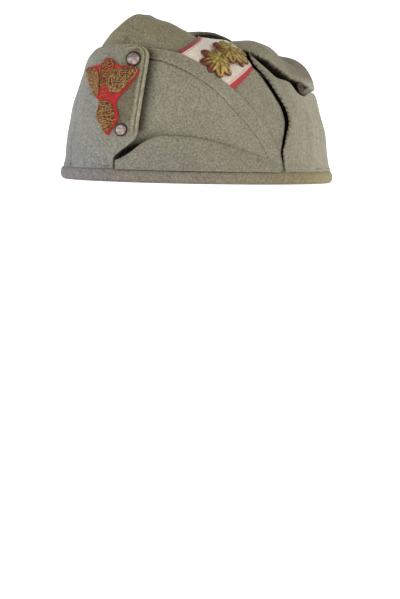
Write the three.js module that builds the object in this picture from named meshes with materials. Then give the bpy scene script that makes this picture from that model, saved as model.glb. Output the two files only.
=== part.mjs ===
// A cloth garrison cap: a soft boat-shaped crown with a sunk top, folded side, rear and front flaps,
// a rolled rim, an embroidered bird badge, two snaps and a ribbon with three cast oak leaves.
// Millimetres. The rim rests on the plane z = 0, the front of the cap faces -Y, the wearer's left is +X.
// Angles are in degrees in plan: -90 is the front, 0 the wearer's left side, 90 the back.

import * as THREE from 'three';
import { mergeVertices } from 'three/addons/utils/BufferGeometryUtils.js';

// Driving dimensions of the crown
const RIM = { halfWidth: 72.7, halfLength: 98.4 };
const REAR = { fullness: 0.016, flare: 0.024, flareHeight: 26, spread: 0.7 };
const CREST_LOOP = { frontY: -53.5, backY: 86 };
const WALL_SHAPE = { power: 1.6, roundness: 0.33 };
const CLOTH = 1.7;
const GAP = 0.4;
const KEEL_SETBACK = 3;

// Crest: the loop where the outer wall turns over into the sunk top
const CREST = [
  { angle: -90, halfWidth: 6, height: 102.3 },
  { angle: -60, halfWidth: 11, height: 98.2 },
  { angle: -45, halfWidth: 15, height: 93 },
  { angle: -36, halfWidth: 17.5, height: 89 },
  { angle: -30, halfWidth: 19, height: 88.4 },
  { angle: -16, halfWidth: 22.2, height: 88 },
  { angle: -9, halfWidth: 23, height: 89.6 },
  { angle: 5, halfWidth: 24, height: 87.8 },
  { angle: 20, halfWidth: 24, height: 82.8 },
  { angle: 45, halfWidth: 23, height: 83 },
  { angle: 90, halfWidth: 19, height: 76.5 },
  { angle: 135, halfWidth: 23, height: 91.3 },
  { angle: 150, halfWidth: 24, height: 97 },
  { angle: 162, halfWidth: 24, height: 98.9 },
  { angle: 172, halfWidth: 24, height: 98 },
  { angle: 182, halfWidth: 23.5, height: 95.2 },
  { angle: 200, halfWidth: 22, height: 94 },
  { angle: 225, halfWidth: 17, height: 94 },
  { angle: 245, halfWidth: 11, height: 96 },
];

const DENT = { station: 14.2, width: 5, depth: 3.4, from: 0.2, rise: 0.4, fall: 0.1 };

// Keel: the crease at the bottom of the sunk top, the same on both sides
const KEEL = [
  { angle: -90, height: 101 },
  { angle: -70, height: 90 },
  { angle: -45, height: 74 },
  { angle: -10, height: 66 },
  { angle: 45, height: 63 },
  { angle: 75, height: 66 },
  { angle: 90, height: 73 },
];

// Pleat: the deep upright fold at mid-side, as its plan angle at each height
const PLEAT = [
  { height: 9, angle: -4 },
  { height: 13, angle: -4.5 },
  { height: 20, angle: -5.2 },
  { height: 25, angle: -4.2 },
  { height: 32, angle: -2.8 },
  { height: 38, angle: -1.5 },
  { height: 43, angle: -1.8 },
  { height: 48, angle: -3.2 },
  { height: 55, angle: -6.5 },
  { height: 64, angle: -11 },
  { height: 74, angle: -15 },
  { height: 83, angle: -15.5 },
];
const PLEAT_STATION = -5;
const PLEAT_REACH = 40;
const PLEAT_HALF_WIDTH = 1.7;
const PLEAT_DEPTH = 4.5;

// Rear fold: its lower lip hangs out over the rear flap, and the wall is drawn in under it
const REAR_FOLD = [
  { station: -8.5, lip: 83, overhang: 0, drawnIn: 0 },
  { station: -6, lip: 81, overhang: 2.5, drawnIn: 0 },
  { station: -3, lip: 77.3, overhang: 5, drawnIn: 0.3 },
  { station: 0, lip: 73.6, overhang: 6.6, drawnIn: 0.8 },
  { station: 5.5, lip: 68.2, overhang: 5.5, drawnIn: 1.4 },
  { station: 11, lip: 65.4, overhang: 3.6, drawnIn: 2 },
  { station: 17, lip: 63.7, overhang: 4.2, drawnIn: 2.4 },
  { station: 24, lip: 62.6, overhang: 3.2, drawnIn: 2.8 },
  { station: 32, lip: 62.2, overhang: 1.5, drawnIn: 3.2 },
  { station: 45, lip: 62, overhang: 0.7, drawnIn: 3.4 },
  { station: 90, lip: 61.5, overhang: 0.7, drawnIn: 3.4 },
];
const DRAWN_IN_FROM = 24;

// Rolled rim
const ROLL = { height: 8, proud: 3.6, inside: 3, corner: 2.4, edge: 1 };
const WALL_FOOT = ROLL.height + GAP;

// Side flap: top edge, from under the front visor down to the pleat
const SIDE_FLAP_TOP = [
  { angle: -82, height: 80 },
  { angle: -62, height: 78.5 },
  { angle: -53, height: 76.8 },
  { angle: -45.5, height: 73.4 },
  { angle: -37.5, height: 67.9 },
  { angle: -31, height: 61.2 },
  { angle: -24.5, height: 53.7 },
  { angle: -18.5, height: 44.2 },
  { angle: -15, height: 38 },
  { angle: -12, height: 31 },
  { angle: -9, height: 23 },
  { angle: -7.2, height: 15 },
  { angle: -6.4, height: 10 },
];

// Distance of a side flap's front edge from the centre plane: on the wearer's right it starts beside
// the visor and tucks under it only near the top
const FLAP_FRONT = { near: 17, far: 25.8, tucksFrom: 64, tucksOver: 8 };
const SIDE_FLAP_ANGLES = [
  -70, -64, -58, -52.5, -47, -41.5, -36, -31, -26.5, -22, -18.5, -15, -12, -9, -7.2, -6.4,
];
const SIDE_FLAP_ROWS = 6;

// Lower panel: a crescent that stands proud of the side flap's foot
const LOWER_PANEL_TOP = [
  { angle: -79, height: 12.6 },
  { angle: -76, height: 14 },
  { angle: -71.5, height: 17.6 },
  { angle: -68.5, height: 20.8 },
  { angle: -65, height: 24.4 },
  { angle: -62, height: 26.6 },
  { angle: -57, height: 28 },
  { angle: -50, height: 27.7 },
  { angle: -42, height: 26.4 },
  { angle: -34, height: 23.8 },
  { angle: -28, height: 21.6 },
  { angle: -21, height: 18.4 },
  { angle: -13.5, height: 15.4 },
  { angle: -8.5, height: 12.8 },
];
const LOWER_PANEL_ANGLES = [
  -77, -74.5, -71.5, -68.5, -65, -61, -57, -51, -45, -38, -31, -24, -17, -12, -8.5,
];
const LOWER_PANEL_ROWS = 3;
const FAR_PANEL = { rearAngle: -8, share: 0.3 };

// Rear flap: top edge, from its tall front corner at the pleat round to the back
const REAR_FLAP_TOP = [
  { station: -6.6, height: 79.6 },
  { station: -5.4, height: 77.4 },
  { station: -4.3, height: 74.6 },
  { station: -3, height: 71 },
  { station: -1, height: 67.8 },
  { station: 0.6, height: 65.8 },
  { station: 3, height: 64 },
  { station: 7.8, height: 62 },
  { station: 10.3, height: 58 },
  { station: 12.5, height: 55.7 },
  { station: 16, height: 55 },
  { station: 21, height: 56.5 },
  { station: 30, height: 59.3 },
  { station: 45, height: 59.8 },
  { station: 90, height: 59.8 },
];
const REAR_FLAP_STATIONS = [
  -5, -3.3, -1.5, 0.5, 3.2, 6, 9, 12, 15.5, 19, 23, 27, 36, 45, 55, 65, 75, 82.5, 90,
];
const REAR_FLAP_ROWS = 7;
const REAR_FLAP_CURL = { depth: 1.6, from: 4, over: 7, rise: 4 };

// Front visor: how far it reaches to the wearer's left and right at each height, and how far each side
// hangs out from the crown
const VISOR_SIDE = [
  { height: WALL_FOOT, left: 12.4, right: 25, outLeft: GAP, outRight: GAP },
  { height: 13.4, left: 12.4, right: 25, outLeft: 1.1, outRight: 0.6 },
  { height: 17.4, left: 16, right: 25, outLeft: 2.7, outRight: 0.7 },
  { height: 20.6, left: 20, right: 25, outLeft: 3, outRight: 0.8 },
  { height: 23.6, left: 23, right: 25, outLeft: 3.1, outRight: 0.8 },
  { height: 25.6, left: 24.6, right: 25, outLeft: 3.1, outRight: 0.8 },
  { height: 28.5, left: 25, right: 25, outLeft: 3.1, outRight: 0.9 },
  { height: 38, left: 25, right: 25, outLeft: 3.1, outRight: 1 },
  { height: 48, left: 24.8, right: 24.6, outLeft: 3.1, outRight: 1.1 },
  { height: 58, left: 24.3, right: 23.2, outLeft: 3.1, outRight: 1.6 },
  { height: 64, left: 23.8, right: 21.6, outLeft: 3.1, outRight: 2.2 },
  { height: 68, left: 23.3, right: 20.4, outLeft: 3.1, outRight: 2.7 },
  { height: 71.5, left: 22.8, right: 17.6, outLeft: 3.2, outRight: 3.3 },
  { height: 74.5, left: 22, right: 13.4, outLeft: 3.3, outRight: 3.8 },
  { height: 77, left: 20.2, right: 8.5, outLeft: 3.5, outRight: 4.3 },
  { height: 78.6, left: 17.4, right: 2, outLeft: 3.6, outRight: 4.6 },
  { height: 79.8, left: 13, right: -4, outLeft: 3.7, outRight: 4.8 },
];
const VISOR_BLEND = 8;
const VISOR_COLUMNS = 12;

// Snaps on the visor's corners at the wearer's left
const SNAPS = [
  { level: 'upper', across: 15.8, height: 71, radius: 4.6 },
  { level: 'lower', across: 16.5, height: 30.2, radius: 4 },
];
const SNAP_DOME = 2;

// Badge: a bird with raised wings, measured from its own centre line, leaning towards the wearer's left
const BADGE = { footHeight: 27, footX: 9, lean: 0.135, felt: 1.4, relief: 1.5, roundness: 0.8 };
const BADGE_FELT = [
  { height: 0, left: -0.6, right: 0.6 },
  { height: 3, left: -2.6, right: 2.8 },
  { height: 7, left: -5.3, right: 5.6 },
  { height: 10.5, left: -8.1, right: 6.9 },
  { height: 12.5, left: -7.6, right: 6.8 },
  { height: 16, left: -5.8, right: 5.7 },
  { height: 19, left: -5.6, right: 5.6 },
  { height: 22, left: -8.2, right: 7.2 },
  { height: 27, left: -11.6, right: 11.2 },
  { height: 32.5, left: -14.7, right: 14.7 },
  { height: 36, left: -17, right: 16.6 },
  { height: 38, left: -18.3, right: 16.5 },
  { height: 39.4, left: -15.5, right: 12.5 },
  { height: 40.4, left: -6.5, right: 3.6 },
  { height: 42.6, left: -4, right: 2.2 },
  { height: 44.5, left: -0.6, right: 0.6 },
];
const BADGE_BODY = [
  { height: 2, left: -0.8, right: 0.9 },
  { height: 6.5, left: -4.2, right: 4.4 },
  { height: 10.5, left: -6.8, right: 5.4 },
  { height: 13, left: -6.4, right: 5.2 },
  { height: 17.5, left: -4.6, right: 3.6 },
  { height: 22, left: -4.2, right: 1 },
  { height: 29, left: -4.6, right: 0.2 },
  { height: 36, left: -4.4, right: 1.4 },
  { height: 40, left: -4, right: 1.8 },
  { height: 43, left: -1.2, right: 0.8 },
];
const BADGE_WING_LEFT = [
  { height: 24, left: 4.2, right: 6 },
  { height: 26, left: 2.8, right: 8 },
  { height: 29.2, left: 2.4, right: 10.6 },
  { height: 33, left: 3.2, right: 13 },
  { height: 36, left: 6, right: 14.6 },
  { height: 38, left: 9.4, right: 13.4 },
];
const BADGE_WING_RIGHT = [
  { height: 22.4, left: -8.9, right: -7.6 },
  { height: 26, left: -10.8, right: -7.2 },
  { height: 29.2, left: -12.8, right: -6.8 },
  { height: 33, left: -14.8, right: -7.4 },
  { height: 36, left: -16.4, right: -9.4 },
  { height: 38, left: -16.6, right: -14 },
];

// Ribbon: across it from the front stripe to the rear stripe, with the heights of its two ends
const RIBBON = [
  { across: 0, footAngle: -52.6, footHeight: 77.9, headAngle: -38, headHeight: 90 },
  { across: 0.25, footAngle: -46, footHeight: 75, headAngle: -33, headHeight: 90 },
  { across: 0.5, footAngle: -39, footHeight: 70.3, headAngle: -27.5, headHeight: 89.4 },
  { across: 0.6, footAngle: -36.4, footHeight: 67.9, headAngle: -22.5, headHeight: 87.9 },
  { across: 0.7, footAngle: -33.8, footHeight: 65.5, headAngle: -19.8, headHeight: 83.2 },
  { across: 0.82, footAngle: -30.6, footHeight: 62.2, headAngle: -16.7, headHeight: 75.2 },
  { across: 0.9, footAngle: -28.4, footHeight: 59.9, headAngle: -15.6, headHeight: 72.4 },
  { across: 1, footAngle: -26, footHeight: 57.4, headAngle: -15.2, headHeight: 69.8 },
];
const RIBBON_THICKNESS = 0.8;
const RIBBON_BELOW_CREST = 1;
const RIBBON_COLUMNS = 16;
const RIBBON_ROWS = [0, 0.22, 0.42, 0.6, 0.74, 0.85, 0.93, 0.98, 1];

// Oak leaves: where the heart of each lies over the ribbon, and the direction and reach of its lobes
const LEAVES = [
  { name: 'oak_leaf_front', angle: -33.4, height: 72.5, lift: 3.4 },
  { name: 'oak_leaf_middle', angle: -27.8, height: 77.5, lift: 1.7 },
  { name: 'oak_leaf_rear', angle: -21.2, height: 80.1, lift: 3.4 },
];
const LEAF_LOBES = {
  oak_leaf_front: [
    { turn: -168, reach: 13.3 },
    { turn: -139, reach: 11.5 },
    { turn: -104, reach: 11.7 },
    { turn: -64, reach: 11.4 },
    { turn: 3, reach: 5.5 },
    { turn: 96, reach: 7 },
    { turn: 139, reach: 10.5 },
  ],
  oak_leaf_middle: [
    { turn: -142, reach: 9.3 },
    { turn: -101, reach: 9.8 },
    { turn: -66, reach: 12 },
    { turn: 20, reach: 6.5 },
    { turn: 75, reach: 7 },
    { turn: 142, reach: 9.2 },
    { turn: 176, reach: 9 },
  ],
  oak_leaf_rear: [
    { turn: -160, reach: 5.4 },
    { turn: -128, reach: 8.6 },
    { turn: -93, reach: 10.2 },
    { turn: -60, reach: 8.4 },
    { turn: 0, reach: 6 },
    { turn: 62, reach: 6 },
    { turn: 137, reach: 5.6 },
  ],
};
const LEAF = { notch: 0.62, thickness: 0.8, crown: 0.5, flatPart: 0.5 };

// Stud that fastens the rear flap under the rear fold
const STUD = { station: 15, height: 58.3, radius: 2.6, length: 4.6 };

const COLOURS = {
  cloth: 0x8b8672, clothLight: 0x969078, rim: 0x857e69, silver: 0xa79c98, red: 0xb0302e,
  gold: 0x8a6d34, white: 0xd2ccbb, leaf: 0x8c7430, brown: 0x5a3626,
};

// Smooth curve through the rows of a table, by key and value, level where the rows turn back
function curve(rows, key, value, period = 0) {
  const wrapped = period
    ? [...rows.slice(-2).map((row) => ({ ...row, [key]: row[key] - period })), ...rows,
      ...rows.slice(0, 2).map((row) => ({ ...row, [key]: row[key] + period }))]
    : rows;
  const at = wrapped.map((row) => row[key]);
  const to = wrapped.map((row) => row[value]);
  const rise = at.slice(1).map((a, i) => (to[i + 1] - to[i]) / (a - at[i]));
  const slope = at.map((_, i) => {
    if (i === 0) return rise[0];
    if (i === at.length - 1) return rise[i - 1];
    const before = rise[i - 1];
    const after = rise[i];
    return before * after <= 0 ? 0 : (2 * before * after) / (before + after);
  });
  return (x) => {
    let k = x;
    while (period && k < at[1]) k += period;
    while (period && k > at[at.length - 2]) k -= period;
    k = Math.min(Math.max(k, at[0]), at[at.length - 1]);
    let i = 0;
    while (i < at.length - 2 && k > at[i + 1]) i += 1;
    const h = at[i + 1] - at[i];
    const u = (k - at[i]) / h;
    return to[i] * (1 + 2 * u) * (1 - u) ** 2 + slope[i] * h * u * (1 - u) ** 2
      + to[i + 1] * u * u * (3 - 2 * u) + slope[i + 1] * h * u * u * (u - 1);
  };
}

const crestHeight = curve(CREST, 'angle', 'height', 360);
const crestHalfWidth = curve(CREST, 'angle', 'halfWidth', 360);
const keelHeight = curve(KEEL, 'angle', 'height');
const pleatAngle = curve(PLEAT, 'height', 'angle');
const lipHeight = curve(REAR_FOLD, 'station', 'lip');
const lipOverhang = curve(REAR_FOLD, 'station', 'overhang');
const drawnIn = curve(REAR_FOLD, 'station', 'drawnIn');
const radians = (value) => (value * Math.PI) / 180;
const degrees = (value) => (value * 180) / Math.PI;
const clamp = (value, low = 0, high = 1) => Math.min(Math.max(value, low), high);
const smooth = (value) => clamp(value) ** 2 * (3 - 2 * clamp(value));

// Plan place of the crest at an angle
function crestPlace(angle) {
  const middle = (CREST_LOOP.frontY + CREST_LOOP.backY) / 2;
  const half = (CREST_LOOP.backY - CREST_LOOP.frontY) / 2;
  return [crestHalfWidth(angle) * Math.cos(radians(angle)), middle + half * Math.sin(radians(angle))];
}

// Outer face of the crown's plain wall
function plainWall(angle, height) {
  const [crestX, crestY] = crestPlace(angle);
  const part = clamp(height / crestHeight(angle));
  const spread = clamp(1 - part ** WALL_SHAPE.power) ** WALL_SHAPE.roundness;
  const fuller = REAR.fullness + REAR.flare * (1 - smooth(height / REAR.flareHeight));
  const size = 1 + fuller * smooth(Math.sin(radians(angle)) / REAR.spread);
  const x = crestX + (RIM.halfWidth * Math.cos(radians(angle)) * size - crestX) * spread;
  const y = crestY + (RIM.halfLength * Math.sin(radians(angle)) * size - crestY) * spread;
  return new THREE.Vector3(x, y, height);
}

// The same wall moved outwards
const SLOPE = { step: 0.2, belowCrest: 0.25 };
function wall(angle, height, out) {
  const step = SLOPE.step;
  const level = Math.min(height, crestHeight(angle) - SLOPE.belowCrest);
  const along = plainWall(angle + step, level).sub(plainWall(angle - step, level));
  const up = plainWall(angle, level + step).sub(plainWall(angle, level - step));
  return plainWall(angle, height).addScaledVector(along.cross(up).normalize(), out);
}

// A station is an angle at the rim, and the line up from it leans as the pleat does
const half = (station) => (station > 90 ? 180 - station : station);
function angleOf(station, height) {
  const near = half(station);
  const lean = (pleatAngle(height) - PLEAT_STATION)
    * clamp(1 - Math.abs(near - PLEAT_STATION) / PLEAT_REACH);
  return station > 90 ? 180 - near - lean : near + lean;
}
const isRear = (station) => half(station) > REAR_FOLD[0].station;
function drawIn(station, height) {
  const near = half(station);
  const part = (height - DRAWN_IN_FROM) / (lipHeight(near) - DRAWN_IN_FROM);
  return isRear(station) ? drawnIn(near) * smooth(part) : 0;
}

// Angle at which the wall, at a height, is a given distance from the centre plane on the front,
// found by steps from the plane itself
const FRONT_SEARCH = { passes: 8, startAngle: -60, steep: 0.05, limit: 0.99 };
function frontAngle(across, height) {
  const { passes, startAngle, steep, limit } = FRONT_SEARCH;
  const startReach = plainWall(startAngle, height).x / Math.cos(radians(startAngle));
  let angle = -90;
  for (let pass = 0; pass < passes; pass += 1) {
    const cosine = Math.cos(radians(angle));
    const reach = Math.abs(cosine) > steep ? plainWall(angle, height).x / cosine : startReach;
    angle = -degrees(Math.acos(clamp(across / reach, -limit, limit)));
  }
  return angle;
}

// Closed solid between two grids of points, grid[column][row]
function solidBetween(outer, inner, { ring = false, seam = false } = {}) {
  const columns = outer.length;
  const rows = outer[0].length;
  const points = [];
  const quad = (a, b, c, d) => points.push(a, b, c, a, c, d);
  const last = ring ? columns : columns - 1;
  for (let i = 0; i < last; i += 1) {
    const n = (i + 1) % columns;
    for (let j = 0; j < rows - 1; j += 1) {
      quad(outer[i][j], outer[n][j], outer[n][j + 1], outer[i][j + 1]);
      quad(inner[i][j], inner[i][j + 1], inner[n][j + 1], inner[n][j]);
    }
    quad(outer[i][0], inner[i][0], inner[n][0], outer[n][0]);
    if (!seam) quad(outer[i][rows - 1], outer[n][rows - 1], inner[n][rows - 1], inner[i][rows - 1]);
  }
  for (let j = 0; j < rows - 1 && !ring; j += 1) {
    quad(outer[0][j], outer[0][j + 1], inner[0][j + 1], inner[0][j]);
    const e = columns - 1;
    quad(outer[e][j], inner[e][j], inner[e][j + 1], outer[e][j + 1]);
  }
  return closedGeometry(points);
}

// Geometry from a flat list of corners, its faces turned to point outwards
function closedGeometry(points) {
  const geometry = new THREE.BufferGeometry().setFromPoints(points);
  const merged = mergeVertices(geometry, 1e-3);
  const place = merged.getAttribute('position');
  const index = [];
  let volume = 0;
  const [a, b, c] = [new THREE.Vector3(), new THREE.Vector3(), new THREE.Vector3()];
  for (let k = 0; k < merged.index.count; k += 3) {
    const corners = [0, 1, 2].map((n) => merged.index.getX(k + n));
    if (new Set(corners).size === 3) {
      index.push(...corners);
      volume += a.fromBufferAttribute(place, corners[0])
        .dot(b.fromBufferAttribute(place, corners[1]).cross(c.fromBufferAttribute(place, corners[2])));
    }
  }
  if (volume < 0) index.reverse();
  merged.setIndex(index);
  merged.computeVertexNormals();
  return merged;
}

// Grid of points from lists of columns and rows
const grid = (columns, rows, place) => columns.map((u) => rows.map((v) => place(u, v)));
const steps = (from, to, count) =>
  Array.from({ length: count + 1 }, (_, i) => from + ((to - from) * i) / count);

const group = new THREE.Group();
function add(name, geometry, color, roughness = 0.95, metalness = 0) {
  const mesh = new THREE.Mesh(geometry, new THREE.MeshStandardMaterial({ color, roughness, metalness }));
  mesh.name = name;
  group.add(mesh);
}

// Stations round the half cap, closer together at the pleat
const HALF_STATIONS = [
  -90, -82.5, -75, -67.5, -60, -52.5, -45, -37.5, -30, -22.5, -16, -10.5,
  PLEAT_STATION - PLEAT_HALF_WIDTH, PLEAT_STATION, PLEAT_STATION + PLEAT_HALF_WIDTH,
  0.5, 6, 12, 19, 27, 36, 45, 55, 65, 75, 82.5, 90,
];
const STATIONS = [...HALF_STATIONS, ...HALF_STATIONS.slice(1, -1).reverse().map((s) => 180 - s)];

// Crown: rows go up the wall, out over the lip, up to the crest and down to the keel
const WALL_ROWS = [0, 0.12, 0.26, 0.42, 0.58, 0.72, 0.84, 0.93];
const FOLD_ROWS = [0.1, 0.28, 0.48, 0.68, 0.86, 1];
const TOP_ROWS = [0.12, 0.3, 0.55, 0.8, 1];
const LIP = { turn: 0.9, underShare: 0.25, fullness: 2.2 };
const GROOVE = { start: 0.3, rise: 4, fall: 6 };

// The near lobe is in two swells with a dent between them; the share runs from the lip to the crest
function dent(station, share) {
  const within = smooth((share - DENT.from) / DENT.rise) * smooth((1 - share) / DENT.fall);
  return DENT.depth * Math.exp(-(((station - DENT.station) / DENT.width) ** 2)) * within;
}

function crownColumn(station) {
  const near = half(station);
  const lip = lipHeight(near);
  const overhang = isRear(station) ? lipOverhang(near) : 0;
  const onPleat = Math.abs(near - PLEAT_STATION) < PLEAT_HALF_WIDTH / 2;
  const column = WALL_ROWS.map((part) => {
    const height = WALL_FOOT + (lip - WALL_FOOT) * part;
    const open = smooth(part * GROOVE.rise + GROOVE.start) * smooth((1 - part) * GROOVE.fall);
    const groove = onPleat ? PLEAT_DEPTH * open : 0;
    return wall(angleOf(station, height), height, -drawIn(station, height) - groove);
  });
  const angle = angleOf(station, lip);
  column.push(wall(angle, lip - LIP.turn, -drawIn(station, lip) + overhang * LIP.underShare));
  column.push(wall(angle, lip + LIP.turn, overhang));
  const top = crestHeight(angle);
  FOLD_ROWS.forEach((part) => {
    const height = lip + LIP.turn + (top - lip - LIP.turn) * part;
    const out = overhang * (1 - part ** LIP.fullness) - dent(station, part);
    column.push(part < 1 ? wall(angle, height, out) : plainWall(angle, top));
  });
  const [crestX, crestY] = crestPlace(angle);
  const middle = (CREST_LOOP.frontY + CREST_LOOP.backY) / 2;
  const run = (CREST_LOOP.backY - CREST_LOOP.frontY) / 2 - KEEL_SETBACK;
  const keelY = middle + run * Math.sin(radians(angle));
  const keelZ = Math.min(keelHeight(half(angle)), top - 1);
  TOP_ROWS.forEach((part) => {
    const drop = Math.sin((part * Math.PI) / 2);
    const x = part < 1 ? crestX * (1 - part) : 0;
    column.push(new THREE.Vector3(x, crestY + (keelY - crestY) * part, top - (top - keelZ) * drop));
  });
  return column;
}

// Inner face of a closed ring of columns, one cloth thickness inside the outer one
function insideOf(outer, thickness) {
  const columns = outer.length;
  const rows = outer[0].length;
  return outer.map((column, i) => column.map((point, j) => {
    const before = outer[(i + columns - 1) % columns];
    const after = outer[(i + 1) % columns];
    if (j === rows - 1) return point.clone().add(new THREE.Vector3(0, 0, -thickness));
    const up = column[j + 1].clone().sub(column[Math.max(j - 1, 0)]);
    const along = after[j].clone().sub(before[j]);
    return point.clone().addScaledVector(along.cross(up).normalize(), -thickness);
  }));
}

function crown() {
  const outer = STATIONS.map(crownColumn);
  const inner = insideOf(outer, CLOTH);
  inner.forEach((column) => { column[0].z = WALL_FOOT; });
  return solidBetween(outer, inner, { ring: true, seam: true });
}

// Rolled rim: a section with a flat foot, carried round the crown's foot
function rimRoll() {
  const { height, proud, inside, corner, edge } = ROLL;
  const section = [
    [-inside, height - edge], [-inside, edge], [edge - inside, 0], [proud - corner, 0],
    [proud - edge / 2, edge], [proud, height / 2], [proud - edge / 2, height - 2 * edge],
    [proud - corner, height], [edge - inside, height],
  ];
  const columns = STATIONS.map((station) => section.map(([out, z]) => {
    const foot = wall(station, WALL_FOOT, out);
    return new THREE.Vector3(foot.x, foot.y, z);
  }));
  const points = [];
  columns.forEach((column, i) => {
    const next = columns[(i + 1) % columns.length];
    column.forEach((point, j) => {
      const k = (j + 1) % column.length;
      points.push(point, next[j], next[k], point, next[k], column[k]);
    });
  });
  return closedGeometry(points);
}

// Point of a piece on the wearer's left, or its mirror image on the right
const sided = (side, point) => new THREE.Vector3(point.x * side, point.y, point.z);
// The far wall differs from the near one in height, so a mirrored piece is placed by its own angle
const sideAngle = (side, angle) => (side > 0 ? angle : 180 - angle);

// Front edge of a side flap, as its distance from the centre plane
function flapFront(side, height) {
  const { near, far, tucksFrom, tucksOver } = FLAP_FRONT;
  return side > 0 ? near : far + (near - far) * smooth((height - tucksFrom) / tucksOver);
}

function sideFlap(side) {
  const topHeight = curve(SIDE_FLAP_TOP, 'angle', 'height');
  const frontTop = topHeight(frontAngle(FLAP_FRONT.near, FLAP_FRONT.tucksFrom));
  const start = frontAngle(FLAP_FRONT.near, frontTop);
  const end = SIDE_FLAP_ANGLES[SIDE_FLAP_ANGLES.length - 1];
  const columns = [start, ...SIDE_FLAP_ANGLES];
  const face = (out) => grid(columns, steps(0, 1, SIDE_FLAP_ROWS), (angle, part) => {
    const top = topHeight(angle);
    const height = WALL_FOOT + (top - WALL_FOOT) * part;
    const edge = frontAngle(flapFront(side, height), height);
    const place = edge + ((angle - start) * (end - edge)) / (end - start);
    return wall(sideAngle(side, place), height, out);
  });
  return solidBetween(face(GAP + CLOTH), face(GAP));
}

// Angle of the lower panel, which is shorter on the wearer's right
function panelAngle(side, angle) {
  return side > 0 ? angle : FAR_PANEL.rearAngle + (angle - FAR_PANEL.rearAngle) * FAR_PANEL.share;
}

function lowerPanel(side) {
  const topHeight = curve(LOWER_PANEL_TOP, 'angle', 'height');
  const inner = 2 * GAP + CLOTH;
  const face = (out) => grid(LOWER_PANEL_ANGLES, steps(0, 1, LOWER_PANEL_ROWS), (angle, part) => {
    const height = WALL_FOOT + (topHeight(angle) - WALL_FOOT) * part;
    return wall(sideAngle(side, panelAngle(side, angle)), height, out);
  });
  return solidBetween(face(inner + CLOTH), face(inner));
}

function rearFlap() {
  const topHeight = curve(REAR_FLAP_TOP, 'station', 'height');
  const { depth, from, over, rise } = REAR_FLAP_CURL;
  const mirrored = REAR_FLAP_STATIONS.slice(0, -1).reverse().map((station) => 180 - station);
  const stations = [...REAR_FLAP_STATIONS, ...mirrored];
  const face = (out) => grid(stations, steps(0, 1, REAR_FLAP_ROWS), (station, part) => {
    const lane = half(station);
    const height = WALL_FOOT + (topHeight(lane) - WALL_FOOT) * part;
    const curl = depth * smooth((from - lane) / over) * smooth(part * rise);
    return wall(angleOf(station, height), height, out + curl - drawIn(station, height));
  });
  return solidBetween(face(GAP + CLOTH), face(GAP));
}

// Point over the visor's inner face, from the distance to the wearer's left and the height
const visorLeft = curve(VISOR_SIDE, 'height', 'left');
const visorRight = curve(VISOR_SIDE, 'height', 'right');
const outLeft = curve(VISOR_SIDE, 'height', 'outLeft');
const outRight = curve(VISOR_SIDE, 'height', 'outRight');
function onVisor(across, height, out) {
  const side = across < 0 ? -1 : 1;
  const share = smooth((across + VISOR_BLEND) / (2 * VISOR_BLEND));
  const lift = outRight(height) + (outLeft(height) - outRight(height)) * share + out;
  return sided(side, wall(frontAngle(Math.abs(across), height), height, lift));
}

function visor() {
  const heights = VISOR_SIDE.map((row) => row.height);
  const face = (out) => grid(steps(0, 1, VISOR_COLUMNS), heights, (share, height) => {
    const across = -visorRight(height) + (visorLeft(height) + visorRight(height)) * share;
    return onVisor(across, height, out);
  });
  return solidBetween(face(CLOTH), face(0));
}

// Place and outward direction on the visor, for the pieces fixed to it
function visorFrame(across, height, out) {
  const origin = onVisor(across, height, out);
  const right = onVisor(across + 1, height, out).sub(onVisor(across - 1, height, out)).normalize();
  const up = onVisor(across, height + 1, out).sub(onVisor(across, height - 1, out)).normalize();
  const normal = right.clone().cross(up).normalize();
  return new THREE.Matrix4().makeBasis(right, normal.clone().cross(right), normal).setPosition(origin);
}

// Round solid about Z from rings of radius and height, closed at its foot and top
function roundSolid(profile, sides) {
  const ring = (radius, z) => steps(0, 2 * Math.PI, sides).slice(0, -1)
    .map((turn) => new THREE.Vector3(radius * Math.cos(turn), radius * Math.sin(turn), z));
  const rings = profile.map(([radius, z]) => ring(radius, z));
  const foot = new THREE.Vector3(0, 0, profile[0][1]);
  const top = new THREE.Vector3(0, 0, profile[profile.length - 1][1]);
  const last = rings[rings.length - 1];
  const points = [];
  rings[0].forEach((_, i) => {
    const n = (i + 1) % sides;
    points.push(rings[0][n], rings[0][i], foot, last[i], last[n], top);
    rings.slice(1).forEach((upper, r) => {
      const lower = rings[r];
      points.push(lower[i], lower[n], upper[n], lower[i], upper[n], upper[i]);
    });
  });
  return closedGeometry(points);
}

const SNAP_SIDES = 14;
const SNAP_PROFILE = [
  { reach: 1, rise: 0 }, { reach: 1, rise: 0.25 }, { reach: 0.86, rise: 0.5 }, { reach: 0.5, rise: 0.88 },
  { reach: 0.18, rise: 1 },
];
const snap = (radius) => roundSolid(
  SNAP_PROFILE.map((row) => [radius * row.reach, SNAP_DOME * row.rise]), SNAP_SIDES,
);

// Badge pieces, from a table of heights with left and right edges
const BADGE_COLUMNS = { felt: 10, thread: 4 };
function badgePiece(rows, columns, from, crownHeight) {
  const heights = rows.map((row) => row.height);
  const leftEdge = curve(rows, 'height', 'left');
  const rightEdge = curve(rows, 'height', 'right');
  const face = (isOuter) => grid(steps(-1, 1, columns), heights, (across, height) => {
    const [left, right] = [leftEdge(height), rightEdge(height)];
    const x = left + ((right - left) * (across + 1)) / 2;
    const dome = isOuter ? crownHeight * (1 - across * across * BADGE.roundness) : 0;
    const centre = BADGE.footX - BADGE.lean * height;
    return onVisor(centre + x, BADGE.footHeight + height, from + dome);
  });
  return solidBetween(face(true), face(false));
}

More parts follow.
